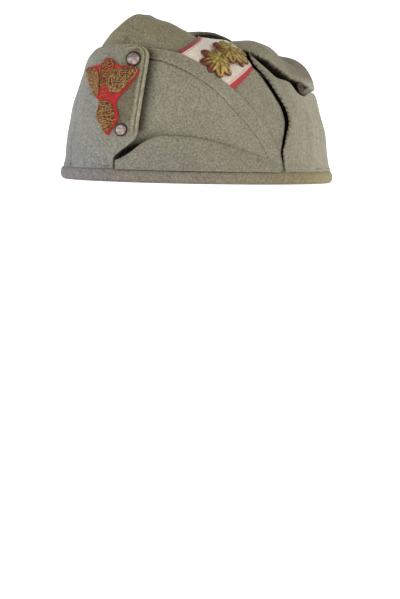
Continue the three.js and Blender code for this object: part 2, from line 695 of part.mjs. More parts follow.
function badge() {
  const felt = CLOTH + GAP;
  const thread = felt + BADGE.felt + GAP;
  const { felt: feltColumns, thread: threadColumns } = BADGE_COLUMNS;
  add('badge_felt', badgePiece(BADGE_FELT, feltColumns, felt, BADGE.felt), COLOURS.red);
  [['badge_body', BADGE_BODY], ['badge_wing_left', BADGE_WING_LEFT], ['badge_wing_right', BADGE_WING_RIGHT]]
    .forEach(([name, rows]) => {
      add(name, badgePiece(rows, threadColumns, thread, BADGE.relief), COLOURS.gold, 0.6, 0.4);
    });
}

function ribbon() {
  const at = (key) => curve(RIBBON, 'across', key);
  const [footAngle, footHeight] = [at('footAngle'), at('footHeight')];
  const [headAngle, headHeight] = [at('headAngle'), at('headHeight')];
  const face = (out) => grid(steps(0, 1, RIBBON_COLUMNS), RIBBON_ROWS, (across, part) => {
    const angle = footAngle(across) + (headAngle(across) - footAngle(across)) * part;
    const top = Math.min(headHeight(across), crestHeight(headAngle(across)) - RIBBON_BELOW_CREST);
    return wall(angle, footHeight(across) + (top - footHeight(across)) * part, out);
  });
  return solidBetween(face(GAP + RIBBON_THICKNESS), face(GAP));
}

// Oak leaf in its own plane: pointed lobes round a raised middle, with a notch between each two
function leaf(lobes) {
  const rim = lobes.flatMap((lobe, i) => {
    const next = lobes[(i + 1) % lobes.length];
    const gap = (next.turn - lobe.turn + 360) % 360;
    const notch = { turn: lobe.turn + gap / 2, reach: Math.min(lobe.reach, next.reach) * LEAF.notch };
    return [lobe, notch].map(({ turn, reach }) => (
      new THREE.Vector2(Math.cos(radians(turn)) * reach, Math.sin(radians(turn)) * reach)
    ));
  });
  const ring = (scale, z) => rim.map((p) => new THREE.Vector3(p.x * scale, p.y * scale, z));
  const full = LEAF.thickness + LEAF.crown;
  const rings = [ring(1, 0), ring(1, LEAF.thickness), ring(LEAF.flatPart, full)];
  const points = [];
  const foot = new THREE.Vector3(0, 0, 0);
  const tip = new THREE.Vector3(0, 0, full);
  rim.forEach((_, i) => {
    const n = (i + 1) % rim.length;
    points.push(rings[0][n], rings[0][i], foot, rings[2][i], rings[2][n], tip);
    [0, 1].forEach((r) => {
      points.push(rings[r][i], rings[r][n], rings[r + 1][n], rings[r][i], rings[r + 1][n], rings[r + 1][i]);
    });
  });
  return closedGeometry(points);
}

function wallFrame(angle, height, out) {
  const origin = wall(angle, height, out);
  const right = wall(angle + 1, height, out).sub(wall(angle - 1, height, out)).normalize();
  const up = wall(angle, height + 1, out).sub(wall(angle, height - 1, out)).normalize();
  const normal = right.clone().cross(up).normalize();
  return new THREE.Matrix4().makeBasis(right, normal.clone().cross(right), normal).setPosition(origin);
}

// The cap, put together from the crown outwards
add('crown', crown(), COLOURS.cloth);
add('rim_roll', rimRoll(), COLOURS.rim);
add('side_flap_left', sideFlap(1), COLOURS.cloth);
add('side_flap_right', sideFlap(-1), COLOURS.cloth);
add('lower_panel_left', lowerPanel(1), COLOURS.cloth);
add('lower_panel_right', lowerPanel(-1), COLOURS.cloth);
add('rear_flap', rearFlap(), COLOURS.clothLight);
add('front_visor', visor(), COLOURS.cloth);

SNAPS.forEach(({ level, across, height, radius }) => {
  const frame = visorFrame(across, height, CLOTH + GAP);
  add(`snap_${level}_left`, snap(radius).applyMatrix4(frame), COLOURS.silver, 0.45, 0.8);
});

badge();
add('ribbon', ribbon(), COLOURS.white);
LEAVES.forEach(({ name, angle, height, lift }) => {
  const geometry = leaf(LEAF_LOBES[name]).applyMatrix4(wallFrame(angle, height, lift));
  add(name, geometry, COLOURS.leaf, 0.5, 0.7);
});

const STUD_SIDES = 12;
const studOut = GAP - drawIn(STUD.station, STUD.height);
const studFrame = wallFrame(angleOf(STUD.station, STUD.height), STUD.height, studOut);
const stud = roundSolid([[STUD.radius, 0], [STUD.radius, STUD.length]], STUD_SIDES);
add('rear_stud', stud.applyMatrix4(studFrame), COLOURS.brown, 0.6, 0);

export default group;
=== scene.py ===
import math

import bmesh
import bpy
import numpy as np
from mathutils import Matrix, Vector


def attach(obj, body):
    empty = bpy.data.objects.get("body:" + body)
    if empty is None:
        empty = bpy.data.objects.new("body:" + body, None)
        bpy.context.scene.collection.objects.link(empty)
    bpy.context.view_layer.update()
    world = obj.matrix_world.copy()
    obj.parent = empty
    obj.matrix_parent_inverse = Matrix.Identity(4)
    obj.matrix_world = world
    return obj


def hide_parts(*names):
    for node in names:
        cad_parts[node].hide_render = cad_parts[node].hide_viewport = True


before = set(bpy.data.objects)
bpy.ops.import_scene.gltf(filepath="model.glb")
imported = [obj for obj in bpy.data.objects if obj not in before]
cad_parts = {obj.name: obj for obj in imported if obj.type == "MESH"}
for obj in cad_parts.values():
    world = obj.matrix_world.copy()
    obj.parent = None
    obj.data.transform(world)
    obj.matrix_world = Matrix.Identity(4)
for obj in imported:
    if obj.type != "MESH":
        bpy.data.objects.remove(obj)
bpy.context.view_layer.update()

# A worn wool garrison cap. Lengths are in millimetres and angles in degrees, and make_piece turns
# millimetres into metres. Plan angles: -90 is the front of the cap, 0 the wearer's left, 90 the back.
MM = 0.001


def table(columns, *rows):
    """Rows of numbers as dictionaries, by the names of their columns."""
    names = columns.split()
    return [dict(zip(names, row)) for row in rows]


# Driving dimensions, the same as the solids'
RIM_HALF_WIDTH, RIM_HALF_LENGTH = 72.7, 98.4
REAR_FULLNESS, REAR_FLARE, FLARE_HEIGHT, FLARE_SPREAD = 0.016, 0.024, 26.0, 0.7
CREST_FRONT_Y, CREST_BACK_Y = -53.5, 86.0
WALL_POWER, WALL_ROUNDNESS = 1.6, 0.33
CLOTH = 1.7
GAP = 0.4
KEEL_SETBACK = 3.0
WALL_FOOT = 8.4
SEWN_FOOT = 7.4
PLEAT_STATION, PLEAT_REACH = -5.0, 40.0
DENT_STATION, DENT_WIDTH, DENT_DEPTH = 14.2, 5.0, 3.4
DRAWN_IN_FROM = 24.0

CREST = table(
    "angle half_width height",
    (-90, 6, 102.3), (-60, 11, 98.2), (-45, 15, 93), (-36, 17.5, 89), (-30, 19, 88.4), (-16, 22.2, 88),
    (-9, 23, 89.6), (5, 24, 87.8), (20, 24, 82.8), (45, 23, 83), (90, 19, 76.5), (135, 23, 91.3),
    (150, 24, 97), (162, 24, 98.9), (172, 24, 98), (182, 23.5, 95.2), (200, 22, 94), (225, 17, 94),
    (245, 11, 96),
)
KEEL = table(
    "angle height",
    (-90, 101), (-70, 90), (-45, 74), (-10, 66), (45, 63), (75, 66), (90, 73),
)
PLEAT = table(
    "height angle",
    (9, -4), (13, -4.5), (20, -5.2), (25, -4.2), (32, -2.8), (38, -1.5), (43, -1.8), (48, -3.2),
    (55, -6.5), (64, -11), (74, -15), (83, -15.5),
)
REAR_FOLD = table(
    "station lip overhang drawn_in",
    (-8.5, 83, 0, 0), (-6, 81, 2.5, 0), (-3, 77.3, 5, 0.3), (0, 73.6, 6.6, 0.8), (5.5, 68.2, 5.5, 1.4),
    (11, 65.4, 3.6, 2), (17, 63.7, 4.2, 2.4), (24, 62.6, 2.4, 2.8), (32, 62.2, 0.9, 3.2), (45, 62, 0.7, 3.4),
    (90, 61.5, 0.7, 3.4),
)
SIDE_FLAP_TOP = table(
    "angle height",
    (-82, 80), (-62, 78.5), (-53, 76.8), (-45.5, 73.4), (-37.5, 67.9), (-31, 61.2), (-24.5, 53.7),
    (-18.5, 44.2), (-15, 38), (-12, 31), (-9, 23), (-7.2, 15), (-6.4, 10),
)
SIDE_FLAP_STITCH = table(
    "angle height",
    (-76, 73.2), (-65.5, 72.2), (-61.5, 71.7), (-54.5, 69.2), (-50, 66.8), (-42, 61.1), (-34.5, 54.2),
    (-28, 44.8), (-20.5, 32.6), (-17, 26.2), (-14.5, 19.8), (-12.6, 13.5), (-11.4, 8.6),
)
SIDE_FLAP_FRONT, FAR_FLAP_FRONT = 17.0, 25.8
FAR_FLAP_TUCKS_FROM, FAR_FLAP_TUCKS_OVER = 64.0, 8.0
FAR_PANEL_SHARE = 0.3
LOWER_PANEL_TOP = table(
    "angle height",
    (-79, 12.6), (-76, 14), (-71.5, 17.6), (-68.5, 20.8), (-65, 24.4), (-62, 26.6), (-57, 28), (-50, 27.7),
    (-42, 26.4), (-34, 23.8), (-28, 21.6), (-21, 18.4), (-13.5, 15.4), (-8.5, 12.8),
)
REAR_FLAP_TOP = table(
    "station height",
    (-6.6, 79.6), (-5.4, 77.8), (-4.3, 75.6), (-3, 72.6), (-1, 69.4), (0.6, 67.4), (3, 65.4), (7.8, 62.8),
    (10.3, 59), (12.5, 56.4), (16, 55.2), (21, 56.5), (30, 59.3), (45, 59.8), (90, 59.8),
)
VISOR_SIDE = table(
    "height left right out_left out_right",
    (8.4, 12.4, 25, 0.4, 0.4), (13.4, 12.4, 25, 1.1, 0.6), (17.4, 16, 25, 2.7, 0.7), (20.6, 20, 25, 3, 0.8),
    (23.6, 23, 25, 3.1, 0.8), (25.6, 24.6, 25, 3.1, 0.8), (28.5, 25, 25, 3.1, 0.9), (38, 25, 25, 3.1, 1),
    (48, 24.8, 24.6, 3.1, 1.1), (58, 24.3, 23.2, 3.1, 1.6), (64, 23.8, 21.6, 3.1, 2.2),
    (68, 23.3, 20.4, 3.1, 2.7), (71.5, 22.8, 17.6, 3.2, 3.3), (74.5, 22, 13.4, 3.3, 3.8),
    (77, 20.2, 8.5, 3.5, 4.3), (78.6, 17.4, 2, 3.6, 4.6), (79.8, 13, -4, 3.7, 4.8),
)
VISOR_BLEND = 8.0
SNAPS = table("level across height radius", ("upper", 15.8, 71, 4.6), ("lower", 16.5, 30.2, 4))

BADGE_FOOT_HEIGHT, BADGE_FOOT_X, BADGE_LEAN = 27.0, 9.0, 0.135
BADGE_FELT = table(
    "height left right",
    (0, -0.6, 0.6), (3, -2.6, 2.8), (7, -5.3, 5.6), (10.5, -8.1, 6.9), (12.5, -7.6, 6.8), (16, -5.8, 5.7),
    (19, -5.6, 5.6), (22, -8.2, 7.2), (27, -11.6, 11.2), (32.5, -14.7, 14.7), (36, -17, 16.6),
    (38, -18.3, 16.5), (39.4, -15.5, 12.5), (40.4, -6.8, 5), (42.6, -4.2, 3.2), (44.5, -0.6, 0.6),
)
BADGE_WING_LEFT = table(
    "height inner outer",
    (23.6, 3.4, 6), (26, 1.8, 8.4), (29.2, 1.2, 11.2), (33, 1.5, 13.6), (36, 2.9, 15.4), (38, 5.4, 15.4),
    (39, 8, 13.6),
)
BADGE_WING_RIGHT = table(
    "height inner outer",
    (22, 6.8, 8.6), (26, 6, 11), (29.2, 5.6, 13.1), (33, 5.8, 15.2), (36, 6.8, 17), (38, 8.8, 17.6),
    (38.9, 11, 16),
)
BADGE_BODY = table(
    "height left right",
    (2, -1.2, 1), (6.5, -4.8, 4.2), (10.5, -7.6, 5.7), (13, -7.2, 5.5), (17.5, -5.2, 3.4), (22, -4.2, 1),
    (29, -4.4, 0.4), (34, -4.8, 1.2), (38.6, -5.4, 3.6), (40.6, -5, 3.6), (43.4, -1.6, 1.2),
)
RIBBON = table(
    "across foot_angle foot_height head_angle head_height",
    (0, -52.6, 77.9, -38, 90), (0.25, -46, 75, -33, 90), (0.5, -39, 70.3, -27.5, 89.4),
    (0.6, -36.4, 67.9, -22.5, 87.9), (0.7, -33.8, 65.5, -19.8, 83.2), (0.82, -30.6, 62.2, -16.7, 75.2),
    (0.9, -28.4, 59.9, -15.6, 72.4), (1, -26, 57.4, -15.2, 69.8),
)
LEAVES = table(
    "name angle height lift",
    ("oak_leaf_front", -33.4, 72.5, 3.4), ("oak_leaf_middle", -27.2, 78.8, 3.6),
    ("oak_leaf_rear", -21.8, 78, 1.7),
)
LEAF_LOBES = {
    "oak_leaf_front": table(
        "turn reach width",
        (141, 11.5, 27), (-172, 12.6, 29), (-135, 11.6, 27), (-98, 12.2, 30), (-58, 12, 30), (-10, 8.6, 35),
        (44, 7.6, 32), (92, 8.6, 32),
    ),
    "oak_leaf_middle": table(
        "turn reach width",
        (146, 10, 29), (-172, 9.4, 29), (-132, 10, 30), (-92, 11, 29), (-56, 12.6, 29), (-4, 9.4, 35),
        (48, 8.4, 32), (98, 8.4, 32),
    ),
    "oak_leaf_rear": table(
        "turn reach width",
        (140, 8.4, 32), (-174, 8.3, 32), (-130, 8.4, 29), (-92, 10.2, 27), (-58, 9.2, 26), (-10, 6.5, 32),
        (56, 6.2, 35), (100, 6.7, 32),
    ),
}
LEAF_HEART = 0.57
STUD_STATION, STUD_HEIGHT, STUD_RADIUS = 15.0, 60.0, 3.9

# Camera, at the photograph's viewing angle, raised a little so that it stands above the floor
IMAGE_WIDTH, IMAGE_HEIGHT = 400, 599
CAMERA_TURN, CAMERA_RISE, CAMERA_ROLL = 38.0, 1.5, -1.5
CAMERA_DISTANCE = 950.0
FOCAL_PIXELS = 1450.0
ORIGIN_PIXEL = (194.8, 180.4)
SENSOR = 36.0


def smooth(value):
    """0 below 0, 1 above 1 and an even rise between."""
    part = np.clip(value, 0.0, 1.0)
    return part * part * (3.0 - 2.0 * part)


def rise(value, start, run):
    """0 up to start, then a smooth rise to 1 over run; with a negative run it rises downwards."""
    return smooth((value - start) / run)


def bump(value, centre, width):
    """A rounded rise of height 1."""
    return np.exp(-(((value - centre) / width) ** 2))


def crowded(count):
    """Steps from 0 to 1 that crowd together at both ends."""
    return 0.5 - 0.5 * np.cos(np.linspace(0.0, math.pi, count))


def parts(count):
    """Equal steps that end at 1, without 0."""
    return np.linspace(0, 1, count + 1)[1:]


def together(*values):
    """Numbers and arrays as arrays of one size."""
    return np.broadcast_arrays(*(np.asarray(value, float) for value in values))


def curve(rows, key, value, period=0.0):
    """Smooth curve through the rows of a table, level where the rows turn back."""
    at = np.array([row[key] for row in rows], float)
    to = np.array([row[value] for row in rows], float)
    if period:
        at = np.concatenate([at[-2:] - period, at, at[:2] + period])
        to = np.concatenate([to[-2:], to, to[:2]])
    steepness = np.diff(to) / np.diff(at)
    before, after = steepness[:-1], steepness[1:]
    same_way = before * after > 0
    total = np.where(same_way, before + after, 1.0)
    middle = np.where(same_way, 2.0 * before * after / total, 0.0)
    slope = np.concatenate([steepness[:1], middle, steepness[-1:]])

    def value_at(place):
        place = np.asarray(place, float)
        if period:
            place = (place - at[2]) % period + at[2]
        place = np.clip(place, at[0], at[-1])
        i = np.clip(np.searchsorted(at, place, side="right") - 1, 0, len(at) - 2)
        step = at[i + 1] - at[i]
        u = (place - at[i]) / step
        return (
            to[i] * (1 + 2 * u) * (1 - u) ** 2 + slope[i] * step * u * (1 - u) ** 2
            + to[i + 1] * u * u * (3 - 2 * u) + slope[i + 1] * step * u * u * (u - 1)
        )

    return value_at


crest_height = curve(CREST, "angle", "height", 360.0)
crest_half_width = curve(CREST, "angle", "half_width", 360.0)
keel_height = curve(KEEL, "angle", "height")
pleat_angle = curve(PLEAT, "height", "angle")
lip_height = curve(REAR_FOLD, "station", "lip")
lip_overhang = curve(REAR_FOLD, "station", "overhang")
drawn_in = curve(REAR_FOLD, "station", "drawn_in")
side_flap_top = curve(SIDE_FLAP_TOP, "angle", "height")
side_flap_stitch = curve(SIDE_FLAP_STITCH, "angle", "height")
lower_panel_top = curve(LOWER_PANEL_TOP, "angle", "height")
rear_flap_top = curve(REAR_FLAP_TOP, "station", "height")
visor_left = curve(VISOR_SIDE, "height", "left")
visor_right = curve(VISOR_SIDE, "height", "right")
out_left = curve(VISOR_SIDE, "height", "out_left")
out_right = curve(VISOR_SIDE, "height", "out_right")


def unit(vectors):
    return vectors / (np.linalg.norm(vectors, axis=-1, keepdims=True) + 1e-12)


# The cap's body

def crest_place(angle):
    """Plan place of the crest."""
    middle = (CREST_FRONT_Y + CREST_BACK_Y) / 2
    reach = (CREST_BACK_Y - CREST_FRONT_Y) / 2
    turn = np.radians(angle)
    return crest_half_width(angle) * np.cos(turn), middle + reach * np.sin(turn)


def plain_wall(angle, height):
    """Outer face of the crown's plain wall."""
    crest_x, crest_y = crest_place(angle)
    part = np.clip(height / crest_height(angle), 0, 1)
    spread = np.clip(1 - part**WALL_POWER, 0, 1) ** WALL_ROUNDNESS
    turn = np.radians(angle)
    fuller = REAR_FULLNESS + REAR_FLARE * (1 - smooth(height / FLARE_HEIGHT))
    size = 1 + fuller * smooth(np.sin(turn) / FLARE_SPREAD)
    x = crest_x + (RIM_HALF_WIDTH * np.cos(turn) * size - crest_x) * spread
    y = crest_y + (RIM_HALF_LENGTH * np.sin(turn) * size - crest_y) * spread
    return np.stack([x, y, height + 0 * x], -1)


def wall(angle, height, out):
    """The plain wall moved outwards."""
    angle, height, out = together(angle, height, out)
    step = 0.2
    level = np.minimum(height, crest_height(angle) - 0.05 - step)
    along = plain_wall(angle + step, level) - plain_wall(angle - step, level)
    up = plain_wall(angle, level + step) - plain_wall(angle, level - step)
    return plain_wall(angle, height) + unit(np.cross(along, up)) * out[..., None]


def half(station):
    """The station on the wearer's left that a station on either side matches."""
    return np.where(station > 90, 180 - station, station)


def angle_of(station, height):
    """The line up from a station leans as the pleat does."""
    near = half(station)
    share = np.clip(1 - np.abs(near - PLEAT_STATION) / PLEAT_REACH, 0, 1)
    lean = (pleat_angle(height) - PLEAT_STATION) * share
    return np.where(station > 90, 180 - near - lean, near + lean)


def draw_in(station, height):
    """How far the wall is drawn in under the rear fold."""
    near = half(station)
    part = (height - DRAWN_IN_FROM) / (lip_height(near) - DRAWN_IN_FROM)
    return np.where(near > REAR_FOLD[0]["station"], drawn_in(near) * smooth(part), 0)


def front_angle(across, height):
    """Angle at which the wall is a given distance from the centre plane on the front."""
    across, height = together(across, height)
    angle = np.full(across.shape, -90.0)
    reach = plain_wall(angle + 30, height)[..., 0] / math.cos(math.radians(60))
    for _ in range(8):
        cosine = np.cos(np.radians(angle))
        here = plain_wall(angle, height)[..., 0]
        level = np.abs(cosine) > 0.05
        grip = np.where(level, here / np.where(level, cosine, 1), reach)
        angle = -np.degrees(np.arccos(np.clip(across / grip, -0.99, 0.99)))
    return angle


def on_visor(across, height, out):
    """Point over the front visor's inner face, from the distance across and the height."""
    across, height, out = together(across, height, out)
    share = smooth((across + VISOR_BLEND) / (2 * VISOR_BLEND))
    lift = out_right(height) + (out_left(height) - out_right(height)) * share
    points = wall(front_angle(np.abs(across), height), height, lift + out)
    points[..., 0] *= np.where(across < 0, -1, 1)
    return points


def uneven(points, seed, size, depth):
    """Soft unevenness of worn cloth: a few crossed waves through space."""
    chance = np.random.default_rng(seed)
    total = np.zeros(points.shape[:-1])
    waves = 6
    for _ in range(waves):
        way = unit(chance.normal(size=3))
        length = size * chance.uniform(0.6, 1.7)
        total += np.sin(points @ way * (2 * math.pi / length) + chance.uniform(0, 2 * math.pi))
    return depth * total / math.sqrt(waves)


# Meshes

def grid_faces(columns, rows, start=0, ring=False, flip=False):
    """Four-sided faces of a grid whose points run row by row within each column."""
    i = np.arange(columns if ring else columns - 1)[:, None]
    j = np.arange(rows - 1)[None, :]
    n = (i + 1) % columns
    faces = np.stack([i * rows + j, n * rows + j, n * rows + j + 1, i * rows + j + 1], -1).reshape(-1, 4)
    return (faces[:, ::-1] if flip else faces) + start


def capped(columns, rows):
    """Faces of a ring of columns, closed at both ends by the two points that follow its own."""
    foot, top = columns * rows, columns * rows + 1
    faces = [tuple(face) for face in grid_faces(columns, rows, ring=True)]
    for k in range(columns):
        n = (k + 1) % columns
        faces.append((foot, n * rows, k * rows))
        faces.append((top, k * rows + rows - 1, n * rows + rows - 1))
    return faces


def shape(points, faces, **fields):
    """A mesh in the making: points, faces of three or four corners, and values at the points."""
    points = np.asarray(points, float).reshape(-1, 3)
    faces = [tuple(int(k) for k in face) for face in faces]
    kept = {name: np.asarray(value, float) for name, value in fields.items()}
    return {"points": points, "faces": faces, "fields": kept}


def joined(shapes):
    """Several plain shapes as one."""
    starts = np.cumsum([0, *(len(each["points"]) for each in shapes)])
    faces = [tuple(k + start for k in face) for each, start in zip(shapes, starts) for face in each["faces"]]
    return shape(np.concatenate([each["points"] for each in shapes]), faces)


def outward(made):
    """The shape with its faces turned so that it encloses a positive volume."""
    points = made["points"]
    three = np.array([(f[0], f[k], f[k + 1]) for f in made["faces"] for k in range(1, len(f) - 1)])
    a, b, c = (points[three[:, k]] for k in range(3))
    if np.einsum("ij,ij->i", a, np.cross(b, c)).sum() < 0:
        made["faces"] = [face[::-1] for face in made["faces"]]
    return made


def smooth_mesh(name, points, faces, finish):
    mesh = bpy.data.meshes.new(name)
    mesh.from_pydata(points, [], faces)
    mesh.polygons.foreach_set("use_smooth", [True] * len(mesh.polygons))
    mesh.materials.append(finish)
    return mesh


def added(name, data):
    """A new object in the scene."""
    thing = bpy.data.objects.new(name, data)
    bpy.context.scene.collection.objects.link(thing)
    return thing


def make_piece(name, made, finish, slot, *replaced):
    """A Blender object from a shape, riding on the cap in place of CAD nodes or as an addition."""
    mesh = smooth_mesh(name, (made["points"] * MM).tolist(), made["faces"], finish)
    for field, values in made["fields"].items():
        if values.ndim == 2:
            layer = mesh.attributes.new(field, "FLOAT_COLOR", "POINT")
            layer.data.foreach_set("color", np.column_stack([values, np.ones(len(values))]).ravel())
        else:
            layer = mesh.attributes.new(field, "FLOAT", "POINT")
            layer.data.foreach_set("value", values)
    mesh.validate()
    mesh.update()
    piece = added(name, mesh)
    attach(piece, "root")
    if replaced:
        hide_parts(*replaced)
    return piece


def weld(piece):
    """Merges points that lie on each other."""
    edit = bmesh.new()
    edit.from_mesh(piece.data)
    bmesh.ops.remove_doubles(edit, verts=edit.verts, dist=0.01 * MM)
    bmesh.ops.recalc_face_normals(edit, faces=edit.faces)
    edit.to_mesh(piece.data)
    edit.free()


def edge_distance(points, sides=(True, True, True, True)):
    """Distance within a grid to its first and last column and its first and last row."""
    def run(axis):
        steps = np.linalg.norm(np.diff(points, axis=axis), axis=-1)
        lead = [(0, 0), (0, 0)]
        lead[axis] = (1, 0)
        return np.cumsum(np.pad(steps, lead), axis=axis)

    along, up = run(0), run(1)
    reaches = (along, along[-1:] - along, up, up[:, -1:] - up)
    wanted = [reach for reach, use in zip(reaches, sides) if use]
    return np.minimum.reduce(wanted)


def panel(place, columns, rows, thickness, rounding, relief=0, **fields):
    """Closed cloth panel with rounded edges. place(out) gives its grid of points at a distance out."""
    distance = edge_distance(place(np.zeros((columns, rows))))
    thick = thickness / 2 * np.sqrt(1 - (1 - np.clip(distance / rounding, 0, 1)) ** 2)
    outer = place(thick + smooth(distance / thickness) * relief)
    inner = place(-thick)
    count = columns * rows
    number = np.arange(count).reshape(columns, rows)
    border = np.zeros((columns, rows), bool)
    border[[0, -1], :] = True
    border[:, [0, -1]] = True
    swap = np.arange(2 * count)
    swap[count + number[border]] = number[border]
    inside = (~border).ravel()
    renumber = np.concatenate([np.arange(count), np.zeros(count, int)])
    renumber[count:][inside] = count + np.arange(inside.sum())
    faces = [grid_faces(columns, rows), grid_faces(columns, rows, start=count, flip=True)]
    points = np.concatenate([outer.reshape(-1, 3), inner.reshape(-1, 3)[inside]])
    for name, values in fields.items():
        flat = values.reshape(count, *values.shape[2:])
        fields[name] = np.concatenate([flat, flat[inside]])
    return outward(shape(points, renumber[swap[np.concatenate(faces)]], **fields))


def tube(path, normals, radius, sides):
    """Closed round thread along a path. radius may differ from point to point."""
    path = np.asarray(path, float)
    radius = np.broadcast_to(radius, (len(path),))
    along = unit(np.gradient(path, axis=0))
    side = unit(np.cross(along, normals))
    over = np.cross(side, along)
    turn = np.linspace(0, 2 * math.pi, sides, endpoint=False)
    ring = np.cos(turn)[None, :, None] * side[:, None] + np.sin(turn)[None, :, None] * over[:, None]
    points = (path[:, None] + ring * radius[:, None, None]).transpose(1, 0, 2).reshape(-1, 3)
    return outward(shape(np.concatenate([points, path[:1], path[-1:]]), capped(sides, len(path))))


def lathe(profile, count):
    """Round shape about Z from (radius, height) pairs that start and end on the axis."""
    turn = np.linspace(0, 2 * math.pi, count, endpoint=False)
    rings = profile[1:-1]
    points = [(r * math.cos(t), r * math.sin(t), z) for t in turn for r, z in rings]
    points += [(0, 0, profile[0][1]), (0, 0, profile[-1][1])]
    return outward(shape(points, capped(count, len(rings))))


def set_on(surface, made, across, height, out):
    """The shape set on a surface, with its own Z outwards and its X along the surface."""
    right = surface(across + 1, height, out) - surface(across - 1, height, out)
    up = surface(across, height + 1, out) - surface(across, height - 1, out)
    normal = unit(np.cross(right, up))
    right = unit(right - normal * np.dot(right, normal))
    turned = made["points"] @ np.stack([right, np.cross(normal, right), normal])
    return outward({**made, "points": surface(across, height, out) + turned})


# Materials

class Finish:
    """A material in the making, with short ways to add its nodes. Colours are (red, green, blue)."""

    def __init__(self, name):
        self.material = bpy.data.materials.new(name)
        self.material.use_nodes = True
        self.nodes = self.material.node_tree.nodes
        self.links = self.material.node_tree.links
        self.shader = next(node for node in self.nodes if node.type == "BSDF_PRINCIPLED")
        self.where = self.nodes.new("ShaderNodeTexCoord").outputs["Object"]

    def fill(self, node, inputs):
        """Gives inputs of a node a fixed value or a link."""
        for name, value in inputs.items():
            if isinstance(value, bpy.types.NodeSocket):
                self.links.new(value, node.inputs[name])
            else:
                node.inputs[name].default_value = (*value, 1) if isinstance(value, tuple) else value

    def node(self, kind, output, inputs, **settings):
        """An output of a new node."""
        node = self.nodes.new(kind)
        for name, value in settings.items():
            setattr(node, name, value)
        self.fill(node, inputs)
        return node.outputs[output]

    def at_point(self, field, output="Fac"):
        """A value that the mesh carries at its points."""
        return self.node("ShaderNodeAttribute", output, {}, attribute_name=field)

    def noise(self, per_mm, detail, roughness):
        """Noise with a number of features for each millimetre."""
        inputs = {"Vector": self.where, "Scale": per_mm / MM, "Detail": detail, "Roughness": roughness}
        return self.node("ShaderNodeTexNoise", "Fac", inputs)

    def ramp(self, factor, *stops):
        """Colour ramp through (position, colour) pairs, where a number is a grey."""
        colour = self.node("ShaderNodeValToRGB", "Color", {"Fac": factor})
        elements = colour.node.color_ramp.elements
        while len(elements) < len(stops):
            elements.new(0.5)
        for element, (position, shade) in zip(elements, stops):
            element.position = position
            element.color = (*shade, 1) if isinstance(shade, tuple) else (shade, shade, shade, 1)
        return colour

    def mixed(self, first, second, factor=1.0, kind="MULTIPLY"):
        """Two colours multiplied, or mixed another way."""
        inputs = {0: factor, 6: first, 7: second}
        return self.node("ShaderNodeMix", 2, inputs, data_type="RGBA", blend_type=kind)

    def bumped(self, height, depth, strength, *below):
        """Surface direction of fine relief, depth in millimetres, over that of coarser relief."""
        inputs = {"Height": height, "Distance": depth * MM, "Strength": strength}
        return self.node("ShaderNodeBump", "Normal", {**inputs, **{"Normal": socket for socket in below}})

    def shaded(self, colour, relief, roughness, **values):
        """The finished material. Other inputs of the shader are given with _ for each space."""
        inputs = {name.replace("_", " "): value for name, value in values.items()}
        self.fill(self.shader, {"Base Color": colour, "Normal": relief, "Roughness": roughness, **inputs})
        return self.material


def wool_twill():
    """Felted wool twill: flecked yarns, a fine nap and slow mottling, times the tone at each point, which
    carries tints and painted light and shade and also dims the sheen and specular where shade is painted.
    """
    cloth = Finish("wool_twill")
    tone = cloth.at_point("tone", "Color")
    fleck = cloth.noise(0.85, 3, 0.75)
    yarn = cloth.noise(2.3, 2, 0.6)
    mottle = cloth.noise(0.05, 3, 0.6)
    hue = cloth.noise(0.42, 2, 0.6)
    colour = cloth.mixed(CLOTH_COLOUR, cloth.ramp(fleck, (0.27, 0.46), (0.73, 1.56)))
    colour = cloth.mixed(colour, cloth.ramp(mottle, (0.3, 0.93), (0.7, 1.07)))
    colour = cloth.mixed(colour, cloth.ramp(hue, (0.3, (0.95, 1.03, 0.97)), (0.7, (1.05, 0.975, 1.02))))
    nap = cloth.bumped(yarn, 0.15, 0.6, cloth.bumped(fleck, 0.35, 0.5))
    return cloth.shaded(
        cloth.mixed(colour, tone), nap, 0.95, Sheen_Tint=tone, Specular_Tint=tone,
        Specular_IOR_Level=0.2, Sheen_Weight=0.12, Sheen_Roughness=0.6,
    )


def plain_fabric(name, base, fleck_size, contrast, sheen):
    fabric = Finish(name)
    fleck = fabric.noise(fleck_size, 4, 0.7)
    colour = fabric.mixed(base, fabric.ramp(fleck, (0.25, 1 - contrast), (0.75, 1 + contrast)))
    return fabric.shaded(colour, fabric.bumped(fleck, 0.3, 0.6), 0.95, Sheen_Weight=sheen)


def gold_thread():
    """Dulled gold thread: bright on its crowns, brown and greenish in between."""
    thread = Finish("gold_thread")
    patch = thread.noise(0.9, 4, 0.7)
    colour = thread.ramp(
        patch, (0.33, (0.035, 0.01, 0.005)), (0.45, (0.14, 0.055, 0.016)), (0.56, (0.3, 0.16, 0.045)),
        (0.7, (0.48, 0.33, 0.13)),
    )
    return thread.shaded(colour, thread.bumped(patch, 0.2, 0.5), 0.55, Metallic=0.35)


def gilt_casting():
    """Gilt casting: yellow on the lobes, red-brown lacquer left in the hollows, and red-brown as well at the
    rims and over the side towards the cap's front.
    """
    casting = Finish("gilt_casting")
    patch = casting.noise(0.35, 3, 0.6)
    gilt = casting.ramp(
        patch, (0.3, (0.2, 0.05, 0.025)), (0.4, (0.17, 0.12, 0.035)), (0.52, (0.3, 0.24, 0.06)),
        (0.62, (0.44, 0.33, 0.08)), (0.74, (0.46, 0.2, 0.1)),
    )
    raised = casting.ramp(casting.at_point("relief"), (0.12, 0), (0.5, 1))
    colour = casting.mixed((0.13, 0.022, 0.016), gilt, raised, "MIX")
    return casting.shaded(colour, casting.bumped(patch, 0.25, 0.4), 0.42, Metallic=0.45)


